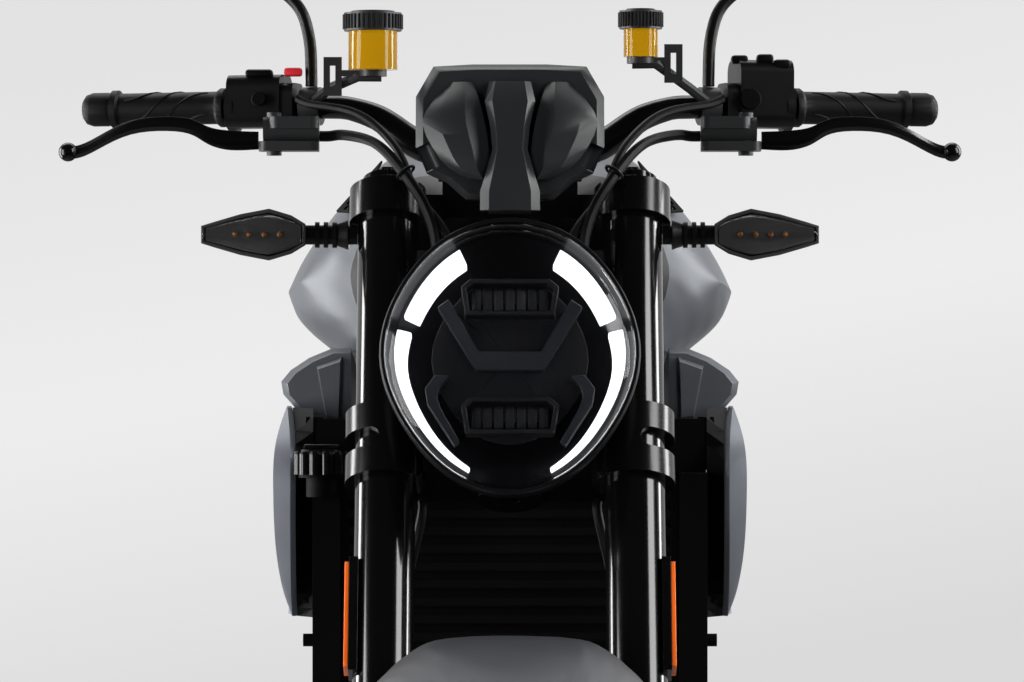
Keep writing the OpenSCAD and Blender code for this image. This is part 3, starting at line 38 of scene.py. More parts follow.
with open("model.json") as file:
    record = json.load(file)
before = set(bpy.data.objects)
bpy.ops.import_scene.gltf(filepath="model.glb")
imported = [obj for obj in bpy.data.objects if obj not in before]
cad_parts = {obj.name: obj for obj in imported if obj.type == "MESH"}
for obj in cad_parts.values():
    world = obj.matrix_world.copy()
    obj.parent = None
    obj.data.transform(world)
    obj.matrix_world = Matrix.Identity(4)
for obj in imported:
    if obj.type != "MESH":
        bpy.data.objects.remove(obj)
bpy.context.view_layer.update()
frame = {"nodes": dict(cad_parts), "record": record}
SLOTS = {part["node"]: part["material_slot"] for part in frame["record"]["subparts"]}

MM = 0.001

# The machine as drawn upright, in millimetres, with its nose towards -Y and the rider's left at +X
RAKE = math.radians(24)
TRAIL = 93
FORK_X = 113
FORK_OFFSET = 37.06
FRONT_AXLE = Vector((0, 0, 300))
REAR_AXLE = Vector((0, 1474, 315))
LAMP_MID = Vector((0, 150, 872))
LAMP_FRONT = 105
LAMP_TILT = math.radians(12)
REFLECTOR_HEIGHTS = (54, -54)
BAR_IN = Vector((160, 387.6, 1106))
BAR_OUT = Vector((398, 445.6, 1105))
BAR_CLAMP = Vector((46, 371.6, 1063))
JARS = ((Vector((-128, 352, 1174)), 27), (Vector((122, 352, 1176)), 20))
RADIATOR_CAP = Vector((-175, 340, 769))
FUEL_CAP = Vector((0, 610, 1092.2))
TANK_NOSE = 503
# Half of each tyre's width
TYRES = {"front_tyre": (FRONT_AXLE, 55), "rear_tyre": (REAR_AXLE, 85)}

# How it then leans on its stand, and where
LEAN = math.radians(10)
PARK = Vector((-204.14, -744.5, 1.367))


def upright_to_parked():
    """The matrix from the machine drawn upright, in millimetres, to the parked frame in metres."""
    return Matrix.Scale(MM, 4) @ Matrix.Translation(PARK) @ Matrix.Rotation(LEAN, 4, "Y")


# Settings


class RoadsterFinish(bpy.types.PropertyGroup):
    """Colours and edge finish of the machine."""

    paint: bpy.props.FloatVectorProperty(
        name="Paint", description="Colour of the painted panels", subtype="COLOR", size=3,
        min=0, max=1, default=(0.09, 0.0965, 0.109),
    )
    edge: bpy.props.FloatProperty(
        name="Edge", description="Radius of the small bevels on hard edges", unit="LENGTH", default=0.0012,
    )
    grain: bpy.props.FloatProperty(
        name="Grain", description="Depth of the fine surface grain", default=0.25, min=0, max=1,
    )
    glow: bpy.props.FloatProperty(
        name="Glow", description="Strength of the headlight's white strips", default=2.2, min=0,
    )


class RoadsterStage(bpy.types.PropertyGroup):
    """Camera and studio."""

    distance: bpy.props.FloatProperty(
        name="Distance", description="From the camera to the front of the headlight", unit="LENGTH",
        default=4.5,
    )
    height: bpy.props.FloatProperty(
        name="Height", description="Of the camera above the floor", unit="LENGTH", default=0.885,
    )
    lens: bpy.props.FloatProperty(
        name="Lens", description="Focal length on a 36 mm sensor", default=178.8,
    )
    pale: bpy.props.FloatProperty(
        name="Pale", description="Brightness of the room as it is seen", default=0.85, min=0, max=1,
    )
    low: bpy.props.FloatProperty(
        name="Low", description="Brightness of the room below the machine and of the floor's rim",
        default=0.7, min=0, max=1,
    )
    floor: bpy.props.FloatProperty(
        name="Floor", description="Radius of the floor", unit="LENGTH", default=5.4, min=2,
    )
    light: bpy.props.FloatProperty(
        name="Light", description="Level of all the soft boxes", default=1.0, min=0,
    )


# Shader groups


def new_group(name, inputs, outputs):
    """An empty shader node group with float, vector or colour sockets, and its input and output nodes."""
    group = bpy.data.node_groups.new(name, "ShaderNodeTree")
    for label, kind, value in inputs:
        socket = group.interface.new_socket(label, in_out="INPUT", socket_type=f"NodeSocket{kind}")
        socket.default_value = value
    for label, kind in outputs:
        group.interface.new_socket(label, in_out="OUTPUT", socket_type=f"NodeSocket{kind}")
    return group, group.nodes.new("NodeGroupInput"), group.nodes.new("NodeGroupOutput")


def grain_group():
    """Roughness, normal and mottling of a surface with fine grain and faint wear."""
    group, given, made = new_group(
        "surface_grain",
        [
            ("Scale", "Float", 900.0), ("Depth", "Float", 0.2), ("Roughness", "Float", 0.4),
            ("Spread", "Float", 0.08),
        ],
        [("Roughness", "Float"), ("Normal", "Vector"), ("Mottle", "Float")],
    )
    add, link = group.nodes.new, group.links.new
    place = add("ShaderNodeTexCoord")
    fine = add("ShaderNodeTexNoise")
    fine.inputs["Detail"].default_value = 3
    broad = add("ShaderNodeTexNoise")
    broad.inputs["Scale"].default_value = 14
    broad.inputs["Detail"].default_value = 4
    bump = add("ShaderNodeBump")
    bump.inputs["Distance"].default_value = 0.0002
    spread = add("ShaderNodeMath")
    spread.operation = "MULTIPLY_ADD"
    centred = add("ShaderNodeMath")
    centred.operation = "SUBTRACT"
    centred.inputs[1].default_value = 0.5
    link(place.outputs["Object"], fine.inputs["Vector"])
    link(place.outputs["Object"], broad.inputs["Vector"])
    link(given.outputs["Scale"], fine.inputs["Scale"])
    link(given.outputs["Depth"], bump.inputs["Strength"])
    link(fine.outputs["Fac"], bump.inputs["Height"])
    link(broad.outputs["Fac"], centred.inputs[0])
    link(centred.outputs[0], spread.inputs[0])
    link(given.outputs["Spread"], spread.inputs[1])
    link(given.outputs["Roughness"], spread.inputs[2])
    link(spread.outputs[0], made.inputs["Roughness"])
    link(bump.outputs["Normal"], made.inputs["Normal"])
    link(broad.outputs["Fac"], made.inputs["Mottle"])
    return group


def calc(tree, operation, a, b=None, c=None):
    """The result of a math node whose inputs are numbers or other nodes' results."""
    node = tree.nodes.new("ShaderNodeMath")
    node.operation = operation
    for socket, value in zip(node.inputs, (a, b, c)):
        if isinstance(value, (int, float)):
            socket.default_value = value
        elif value is not None:
            tree.links.new(value, socket)
    return node.outputs[0]


def seen_share(tree, behind):
    """Full to the camera, and to mirrors and glass as far as the pale side behind the machine reaches."""
    path = tree.nodes.new("ShaderNodeLightPath").outputs
    mirrors = calc(tree, "MAXIMUM", path["Is Glossy Ray"], path["Is Transmission Ray"])
    return calc(tree, "MAXIMUM", path["Is Camera Ray"], calc(tree, "MULTIPLY", mirrors, behind))


def tread_group():
    """Mask of a tyre's grooves: slanted cuts round the crown, fading at its middle and shoulder."""
    group, given, made = new_group(
        "tyre_tread",
        [
            ("Centre", "Vector", (0.0, 0.0, 0.0)), ("Count", "Float", 22.0), ("Slant", "Float", 26.0),
            ("Half", "Float", 0.055),
        ],
        [("Mask", "Float")],
    )
    add, link = group.nodes.new, group.links.new
    place = add("ShaderNodeTexCoord")
    moved = add("ShaderNodeVectorMath")
    moved.operation = "SUBTRACT"
    link(place.outputs["Object"], moved.inputs[0])
    link(given.outputs["Centre"], moved.inputs[1])
    stood = add("ShaderNodeVectorRotate")
    stood.rotation_type = "Y_AXIS"
    stood.inputs["Angle"].default_value = -LEAN
    link(moved.outputs[0], stood.inputs["Vector"])
    split = add("ShaderNodeSeparateXYZ")
    link(stood.outputs[0], split.inputs[0])
    across = calc(group, "ABSOLUTE", split.outputs["X"])
    angle = calc(group, "ARCTAN2", split.outputs["Z"], split.outputs["Y"])
    turn = calc(group, "MULTIPLY", angle, calc(group, "DIVIDE", given.outputs["Count"], 2 * math.pi))
    side = calc(group, "MULTIPLY", calc(group, "SIGN", split.outputs["X"]), 0.25)
    slanted = calc(group, "MULTIPLY_ADD", across, given.outputs["Slant"], turn)
    wave = calc(group, "FRACT", calc(group, "ADD", slanted, side))
    groove, crown, shoulder = 0.07, 0.12, 0.86
    cut = calc(group, "LESS_THAN", calc(group, "ABSOLUTE", calc(group, "SUBTRACT", wave, 0.5)), groove)
    share = calc(group, "DIVIDE", across, given.outputs["Half"])
    past_crown = calc(group, "GREATER_THAN", share, crown)
    band = calc(group, "MULTIPLY", past_crown, calc(group, "LESS_THAN", share, shoulder))
    link(calc(group, "MULTIPLY", cut, band), made.inputs["Mask"])
    return group


# Share by which a finish's colour may vary over its surface
MOTTLE = 0.25


def finish_name(name):
    """The name of a finish's material, apart from those that come with the frame."""
    return f"finish_{name}"


def make_material(name, base, rough, metal=0.0, scale=900.0, depth=0.2, spread=0.08, **sockets):
    """A Principled material with grain and mottled colour; other sockets are set by their names."""
    mat = bpy.data.materials.new(finish_name(name))
    mat.use_nodes = True
    tree = mat.node_tree
    shader = tree.nodes["Principled BSDF"]
    shader.inputs["Base Color"].default_value = (*base, 1)
    shader.inputs["Metallic"].default_value = metal
    grain = tree.nodes.new("ShaderNodeGroup")
    grain.node_tree = bpy.data.node_groups.get("surface_grain") or grain_group()
    grain.inputs["Scale"].default_value = scale
    grain.inputs["Depth"].default_value = depth
    grain.inputs["Roughness"].default_value = rough
    grain.inputs["Spread"].default_value = spread
    tree.links.new(grain.outputs["Roughness"], shader.inputs["Roughness"])
    tree.links.new(grain.outputs["Normal"], shader.inputs["Normal"])
    if not sockets.get("Transmission_Weight"):
        tint = tree.nodes.new("ShaderNodeMix")
        tint.data_type = "RGBA"
        for socket, share in (("A", 1 - MOTTLE), ("B", 1 + MOTTLE)):
            tint.inputs[socket].default_value = (*(min(1.0, share * c) for c in base), 1)
        tree.links.new(grain.outputs["Mottle"], tint.inputs["Factor"])
        tree.links.new(tint.outputs["Result"], shader.inputs["Base Color"])
    for label, value in sockets.items():
        shader.inputs[label.replace("_", " ")].default_value = value
    return mat


def add_tread(mat, axle, half):
    """Cuts a tyre's grooves into its material, with painted shade in them."""
    tree = mat.node_tree
    shader = tree.nodes["Principled BSDF"]
    tread = tree.nodes.new("ShaderNodeGroup")
    tread.node_tree = bpy.data.node_groups.get("tyre_tread") or tread_group()
    tread.inputs["Centre"].default_value = upright_to_parked() @ axle
    tread.inputs["Half"].default_value = half
    bump = tree.nodes.new("ShaderNodeBump")
    bump.invert = True
    bump.inputs["Distance"].default_value = 0.004
    mix = tree.nodes.new("ShaderNodeMix")
    mix.data_type = "RGBA"
    # Painted shade: the grooves are near black, for the shade inside them
    mix.inputs["B"].default_value = (0.002, 0.002, 0.002, 1)
    tree.links.new(shader.inputs["Base Color"].links[0].from_socket, mix.inputs["A"])
    fine = shader.inputs["Normal"].links[0].from_socket
    tree.links.new(fine, bump.inputs["Normal"])
    tree.links.new(tread.outputs["Mask"], bump.inputs["Height"])
    tree.links.new(tread.outputs["Mask"], mix.inputs["Factor"])
    tree.links.new(mix.outputs["Result"], shader.inputs["Base Color"])
    tree.links.new(bump.outputs["Normal"], shader.inputs["Normal"])


def let_light_in(mat):
    """Lets light fall through a lens onto what lies behind it, tinted by the lens."""
    tree = mat.node_tree
    shader = tree.nodes["Principled BSDF"]
    path = tree.nodes.new("ShaderNodeLightPath")
    clear = tree.nodes.new("ShaderNodeBsdfTransparent")
    clear.inputs["Color"].default_value = shader.inputs["Base Color"].default_value
    mix = tree.nodes.new("ShaderNodeMixShader")
    tree.links.new(path.outputs["Is Shadow Ray"], mix.inputs["Fac"])
    tree.links.new(shader.outputs[0], mix.inputs[1])
    tree.links.new(clear.outputs[0], mix.inputs[2])
    tree.links.new(mix.outputs[0], tree.nodes["Material Output"].inputs["Surface"])


def blacken_nose(mat, limit):
    """Turns a painted tank black in front of a limit along the machine, in millimetres."""
    tree = mat.node_tree
    shader = tree.nodes["Principled BSDF"]
    place = tree.nodes.new("ShaderNodeTexCoord")
    split = tree.nodes.new("ShaderNodeSeparateXYZ")
    behind = tree.nodes.new("ShaderNodeMath")
    behind.operation = "GREATER_THAN"
    behind.inputs[1].default_value = (limit + PARK.y) * MM
    mix = tree.nodes.new("ShaderNodeMix")
    mix.data_type = "RGBA"
    mix.inputs["A"].default_value = (0.004, 0.004, 0.0045, 1)
    tree.links.new(shader.inputs["Base Color"].links[0].from_socket, mix.inputs["B"])
    tree.links.new(place.outputs["Object"], split.inputs[0])
    tree.links.new(split.outputs["Y"], behind.inputs[0])
    tree.links.new(behind.outputs[0], mix.inputs["Factor"])
    tree.links.new(mix.outputs["Result"], shader.inputs["Base Color"])


def make_paint(name, share):
    """The panels' satin paint, lighter or darker by a share, which paints light or shade onto a copy of the
    one paint.
    """
    base = [share * c for c in bpy.context.scene.roadster_finish.paint]
    return make_material(name, base, 0.42, 0.3, 2600, 0.08, 0.05, Coat_Weight=0.08, Coat_Roughness=0.5)


def make_materials():
    """Every finish of the machine by its name, which is a slot's, a node's or its own."""
    finish = bpy.context.scene.roadster_finish
    dull = {"Specular_IOR_Level": 0.25}
    glass = {"Transmission_Weight": 1.0}
    return {
        "paint": make_paint("paint", 1.0),
        # Painted highlight: the shrouds take a copy of the panel paint 2.2 times lighter, partly for the lamp
        # light they face, partly as a lighter finish of their own
        "radiator_shrouds": make_paint("radiator_shrouds", 2.2),
        # Painted shade: the mudguard takes a copy of the same paint half as light, for the shade over it
        "front_mudguard": make_paint("front_mudguard", 0.5),
        "black_metal": make_material(
            "black_metal", (0.0018, 0.0018, 0.002), 0.2, 0, 1600, 0.08, Specular_IOR_Level=0.4),
        "black_plastic": make_material(
            "black_plastic", (0.003, 0.003, 0.0034), 0.34, 0, 1300, finish.grain, **dull),
        "dark_cast": make_material("dark_cast", (0.022, 0.022, 0.024), 0.5, 0.5, 700, 0.35),
        "rubber": make_material(
            "rubber", (0.003, 0.003, 0.0034), 0.48, 0, 1100, 0.3, Specular_IOR_Level=0.18),
        "tyre": make_material("tyre", (0.012, 0.012, 0.012), 0.72, 0, 500, 0.3, **dull),
        "disc_steel": make_material("disc_steel", (0.4, 0.4, 0.41), 0.26, 1, 2000, 0.1),
        "steel": make_material("steel", (0.24, 0.23, 0.21), 0.34, 1, 900, 0.2),
        "chrome_leg": make_material("chrome_leg", (0.6, 0.6, 0.62), 0.12, 1, 2000, 0.03),
        "exhaust_steel": make_material("exhaust_steel", (0.3, 0.25, 0.2), 0.3, 1, 400, 0.1),
        "mirror": make_material("mirror", (0.85, 0.86, 0.88), 0.02, 1, 100, 0),
        "seat": make_material("seat", (0.012, 0.012, 0.012), 0.58, 0, 900, 0.5, **dull),
        "display": make_material("display", (0.004, 0.004, 0.005), 0.08, 0, 100, 0),
        "cast_grey": make_material("cast_grey", (0.04, 0.041, 0.043), 0.42, 0.6, 800, 0.3),
        "satin_grey": make_material("satin_grey", (0.05, 0.051, 0.054), 0.3, 0.4, 2000, 0.04),
        "lamp_black": make_material("lamp_black", (0.02, 0.02, 0.021), 0.32, 0, 2000, 0.02, **dull),
        "cowl_satin": make_material(
            "cowl_satin", (0.016, 0.0168, 0.018), 0.36, 0, 1300, finish.grain, **dull),
        "fork_black": make_material(
            "fork_black", (0.0018, 0.0018, 0.002), 0.12, 0, 1600, 0.03, Specular_IOR_Level=0.5),
        "dim_amber": make_material("dim_amber", (0.13, 0.05, 0.014), 0.3, 0, 900, 0.05),
        "red_plastic": make_material("red_plastic", (0.52, 0.018, 0.03), 0.36, 0, 1500, 0.1),
        # Painted shade: the grille of the radiator and its liners is near black and barely shines, for the
        # deep shade it lies in
        "grille": make_material(
            "grille", (0.0012, 0.0012, 0.0012), 0.6, 0, 900, 0.2, Specular_IOR_Level=0.08),
        "orange": make_material("orange", (0.85, 0.13, 0.012), 0.22, 0, 380, 0.6),
        "amber_fluid": make_material(
            "amber_fluid", (0.56, 0.3, 0.005), 0.06, 0, 100, 0, Transmission_Weight=0.85, IOR=1.3),
        "smoke_lens": make_material(
            "smoke_lens", (0.62, 0.63, 0.66), 0.015, 0, 100, 0, 0.0, IOR=1.05, Coat_Weight=0.4, **glass),
        "clear_lens": make_material(
            "clear_lens", (0.66, 0.65, 0.64), 0.03, 0, 100, 0, 0.0, IOR=1.08, Coat_Weight=0.6, **glass),
        "red_lens": make_material(
            "red_lens", (0.5, 0.008, 0.01), 0.08, 0, 100, 0, 0.0, Transmission_Weight=0.3),
        "light_strip": make_material(
            "light_strip", (0.95, 0.96, 1.0), 0.3, 0, 100, 0, Emission_Color=(1, 1, 1, 1),
            Emission_Strength=finish.glow),
    }


# Drawing in upright millimetres


def from_stem(x, y, z):
    """A point measured along the steering axis from where it meets the floor."""
    cos, sin = math.cos(RAKE), math.sin(RAKE)
    return Vector((x, -TRAIL + y * cos + z * sin, z * cos - y * sin))


# Edges of the small parts that are sharper than this aren't shaded as smooth
SHARP_ANGLE = math.radians(34)
STEM_UP = Vector((0, math.sin(RAKE), math.cos(RAKE)))
STEM_FRONT = Vector((0, -math.cos(RAKE), math.sin(RAKE)))
LEFT, FRONT, UP = Vector((1, 0, 0)), Vector((0, -1, 0)), Vector((0, 0, 1))


def in_lamp(x, depth, z):
    """A point of the headlight, from its middle, along its own depth and height."""
    return LAMP_MID + Matrix.Rotation(-LAMP_TILT, 3, "X") @ Vector((x, depth, z))


def on_bar(x, up=0.0, back=0.0):
    """A point on the handlebar's straight end at x, moved up and back."""
    run = BAR_OUT - BAR_IN
    return BAR_IN + run * ((x - BAR_IN.x) / run.x) + Vector((0, back, up))


def flipped(p):
    """The same point on the machine's other side."""
    return Vector((-p[0], p[1], p[2]))


def add_rod(bm, a, b, r, r_end=None, sides=16):
    """A closed round rod from a to b."""
    a, b = Vector(a), Vector(b)
    turn = Matrix.Translation((a + b) / 2) @ (b - a).to_track_quat("Z", "Y").to_matrix().to_4x4()
    end = r if r_end is None else r_end
    return bmesh.ops.create_cone(
        bm, cap_ends=True, segments=sides, radius1=r, radius2=end, depth=(b - a).length, matrix=turn)["verts"]


def add_bolt(bm, at, axis, r=5.0, h=5.0, sides=18):
    """A bolt head with a sunk socket, standing h out of a surface."""
    at, axis = Vector(at), Vector(axis).normalized()
    sunk = 0.6
    verts = add_rod(bm, at - axis * sunk, at + axis * h, r, r * 0.94, sides)
    bm.normal_update()
    ends = {f for v in verts for f in v.link_faces if len(f.verts) == sides}
    top = max(ends, key=lambda f: f.normal.dot(axis))
    bmesh.ops.inset_region(bm, faces=[top], thickness=r * 0.44)
    bmesh.ops.translate(bm, verts=top.verts, vec=axis * (-0.6 * h))


def add_box(bm, at, size, bevel=1.0, turn=None):
    """A box about a point with rounded edges."""
    place = Matrix.Translation(at) @ (turn or Matrix()) @ Matrix.Diagonal((*size, 1))
    verts = bmesh.ops.create_cube(bm, size=1, matrix=place)["verts"]
    edges = list({e for v in verts for e in v.link_edges})
    bmesh.ops.bevel(bm, geom=edges, offset=bevel, segments=2, profile=0.5, affect="EDGES", material=-1)


def add_tube(bm, path, r, sides=8, closed=False):
    """A round cord along a path of points, open with caps or closed in a ring."""
    path = [Vector(p) for p in path]
    before = [path[-1] if closed else path[0]] + path[:-1]
    after = path[1:] + [path[0] if closed else path[-1]]
    ways = [(q - p).normalized() for p, q in zip(before, after)]
    start = Matrix.Translation(path[0]) @ ways[0].to_track_quat("Z", "Y").to_matrix().to_4x4()
    ring = bmesh.ops.create_circle(bm, cap_ends=not closed, segments=sides, radius=r, matrix=start)["verts"]
    first = edges = list({e for v in ring for e in v.link_edges})
    for i in range(1, len(path)):
        grown = bmesh.ops.extrude_edge_only(bm, edges=edges)["geom"]
        edges = [e for e in grown if isinstance(e, bmesh.types.BMEdge) and e.is_boundary]
        bend = ways[i - 1].rotation_difference(ways[i]).to_matrix().to_4x4()
        move = Matrix.Translation(path[i]) @ bend @ Matrix.Translation(-path[i - 1])
        bmesh.ops.transform(bm, matrix=move, verts=[v for v in grown if isinstance(v, bmesh.types.BMVert)])
    if closed:
        bmesh.ops.bridge_loops(bm, edges=edges + first)
    else:
        bmesh.ops.edgeloop_fill(bm, edges=edges)


def circle_points(at, axis, r, count):
    """Points spaced round a circle about an axis."""
    axis = Vector(axis).normalized()
    u = axis.orthogonal().normalized()
    v = axis.cross(u)
    angles = [2 * math.pi * i / count for i in range(count)]
    return [Vector(at) + (u * math.cos(a) + v * math.sin(a)) * r for a in angles]


def add_piece(name, bm, finish, body):
    """Parks a mesh drawn upright, gives it a finish and lets it ride on a body."""
    bmesh.ops.recalc_face_normals(bm, faces=bm.faces)
    bm.transform(upright_to_parked())
    mesh = bpy.data.meshes.new(name)
    bm.to_mesh(mesh)
    bm.free()
    mesh.materials.append(bpy.data.materials[finish_name(finish)])
    mesh.polygons.foreach_set("use_smooth", [True] * len(mesh.polygons))
    mesh.set_sharp_from_angle(angle=SHARP_ANGLE)
    obj = bpy.data.objects.new(name, mesh)
    bpy.context.collection.objects.link(obj)
    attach(obj, body)


# CAD nodes


# Moulded and bent pieces whose broad facets are rounded, with the levels of subdivision
ROUNDED = {
    "fuel_tank": 2, "front_mudguard": 2, "radiator_shrouds": 2, "headlight_lens": 1, "headlight_shell": 1,
    "light_guides": 1, "levers": 1, "front_hoses": 1, "handlebar": 1, "exhaust_pipes": 1, "silencer": 2,
    "tail_unit": 2, "front_indicators": 2, "front_indicator_lenses": 2, "mirrors": 1,
}
# Nodes whose finish differs from that of their slot
OWN_FINISH = {
    "headlight_trim": "satin_grey", "headlight_optics": "lamp_black", "master_cylinders": "cast_grey",
    "radiator": "grille", "radiator_liners": "grille", "fork_tubes": "fork_black",
    "instrument_cowl": "cowl_satin",
}
# Rounder edges than the rest have, in millimetres
SOFT_EDGES = {
    "switch_housings": 4, "master_cylinders": 2, "lower_yoke": 2, "upper_yoke": 2, "engine_case": 4,
    "engine_covers": 3, "front_calipers": 3, "rear_caliper": 3, "swingarm": 4, "intake_panels": 3,
    "instrument_cowl": 2.5, "radiator_shrouds": 9, "radiator": 0.3, "radiator_liners": 0.2, "footrests": 1.5,
    "airbox": 4, "plate_holder": 2,
}


# Metres within which a CAD node's loose triangles join, and the angle from which its edges are bevelled
WELD = 0.00002
BEVEL_ANGLE = math.radians(38)


def finish_node(obj, mat, edge, levels):
    """Smooth shading with small bevels on a CAD node, rounder facets where asked, and its material."""
    mesh = obj.data
    mesh.materials.clear()
    mesh.materials.append(mat)
    mesh.polygons.foreach_set("use_smooth", [True] * len(mesh.polygons))
    weld = obj.modifiers.new("weld", "WELD")
    weld.merge_threshold = WELD
    bevel = obj.modifiers.new("bevel", "BEVEL")
    bevel.width = edge
    bevel.segments = 2
    bevel.limit_method = "ANGLE"
    bevel.angle_limit = BEVEL_ANGLE
    if levels:
        rounder = obj.modifiers.new("rounder", "SUBSURF")
        rounder.levels = rounder.render_levels = levels
    normals = obj.modifiers.new("normals", "WEIGHTED_NORMAL")
    normals.keep_sharp = True


class ROADSTER_OT_nodes(bpy.types.Operator):
    """Gives each CAD node its material and edge finish"""

    bl_idname = "roadster.finish_nodes"
    bl_label = "Finish CAD nodes"

    def execute(self, context):
        mats = make_materials()
        for name, kind in (("front_tyre", "tyre"), ("rear_tyre", "tyre"), ("fuel_tank", "paint")):
            mats[name] = mats[kind].copy()
            mats[name].name = finish_name(name)
        for name, (axle, half) in TYRES.items():
            add_tread(mats[name], axle, half * MM)
        for name in ("smoke_lens", "clear_lens", "amber_fluid"):
            let_light_in(mats[name])
        blacken_nose(mats["fuel_tank"], TANK_NOSE)
        edge = context.scene.roadster_finish.edge
        for name, obj in frame["nodes"].items():
            mat = mats.get(name) or mats[OWN_FINISH.get(name, SLOTS[name])]
            width = SOFT_EDGES[name] * MM if name in SOFT_EDGES else edge
            finish_node(obj, mat, width, ROUNDED.get(name, 0))
        return {"FINISHED"}


# Small parts


class ROADSTER_OT_fasteners(bpy.types.Operator):
    """Puts bolts on the fork, brakes, wheels and engine"""

    bl_idname = "roadster.fasteners"
    bl_label = "Add fasteners"

    def execute(self, context):
        self.add_fork_bolts()
        self.add_wheel_bolts()
        self.add_engine_bolts()
        return {"FINISHED"}

    def add_fork_bolts(self):
        """Pinch bolts on both yokes, fork caps, bar clamps, calipers and mudguard stays."""
        bm = bmesh.new()
        for side in (1, -1):
            x = side * (FORK_X + 25)
            for height in (823, 865, 1086):
                add_bolt(bm, from_stem(x, 26.5 - FORK_OFFSET, height), -STEM_FRONT, 5.5, 5)
            cap = from_stem(side * FORK_X, -FORK_OFFSET, 1108)
            add_rod(bm, cap, cap + STEM_UP * 4, 22, 20, 32)
            add_rod(bm, cap + STEM_UP * 4, cap + STEM_UP * 13, 10, sides=6)
            add_bolt(bm, cap + STEM_UP * 13, STEM_UP, 5, 4)
            for y, z in ((104, 350), (92, 405)):
                add_bolt(bm, (side * (FORK_X - 2), y, z), LEFT * side, 8, 8)
            for y, z in ((32, 366), (52, 390)):
                add_bolt(bm, (side * 81, y, z), LEFT * side, 5, 3)
            for reach in (-18, 18):
                clamp = BAR_CLAMP if side > 0 else flipped(BAR_CLAMP)
                add_bolt(bm, clamp - STEM_FRONT * reach + STEM_UP * 14, STEM_UP, 5, 6)
        add_piece("fork_bolts", bm, "black_metal", "steering")

    def add_wheel_bolts(self):
        """Disc bobbins and hub bolts on both wheels, the sprocket's bolts and a valve on each rim."""
        bm = bmesh.new()
        for side in (1, -1):
            out = LEFT * side
            for p in circle_points(FRONT_AXLE + out * 68, out, 127, 10):
                add_bolt(bm, p, out, 7, 2.5)
            for p in circle_points(FRONT_AXLE + out * 68, out, 46, 5):
                add_bolt(bm, p, out, 4.5, 4)
        add_rod(bm, FRONT_AXLE + Vector((0, 0, -190)), FRONT_AXLE + Vector((0, 0, -152)), 4)
        add_piece("front_wheel_bolts", bm, "steel", "front_wheel")
        bm = bmesh.new()
        for p in circle_points(REAR_AXLE - LEFT * 94.5, LEFT, 53, 5):
            add_bolt(bm, p, -LEFT, 4.5, 4)
        for p in circle_points(REAR_AXLE + LEFT * 111.2, LEFT, 44, 6):
            add_bolt(bm, p, LEFT, 6, 5)
        add_rod(bm, REAR_AXLE + Vector((0, 0, -190)), REAR_AXLE + Vector((0, 0, -152)), 4)
        add_piece("rear_wheel_bolts", bm, "steel", "rear_wheel")

    def add_engine_bolts(self):
        """Cover screws round the engine's round covers."""
        bm = bmesh.new()
        for x, y, z, r, side in ((101.2, 700, 330, 79.5, 1), (-114.2, 660, 320, 57.5, -1)):
            for p in circle_points((x, y, z), LEFT, r, 10):
                add_bolt(bm, p, LEFT * side, 4, 4)
        for y, z in ((862, 326), (862, 400), (926, 340), (918, 396)):
            add_bolt(bm, (133, y, z), LEFT, 5, 4)
        add_piece("engine_bolts", bm, "black_metal", "chassis")


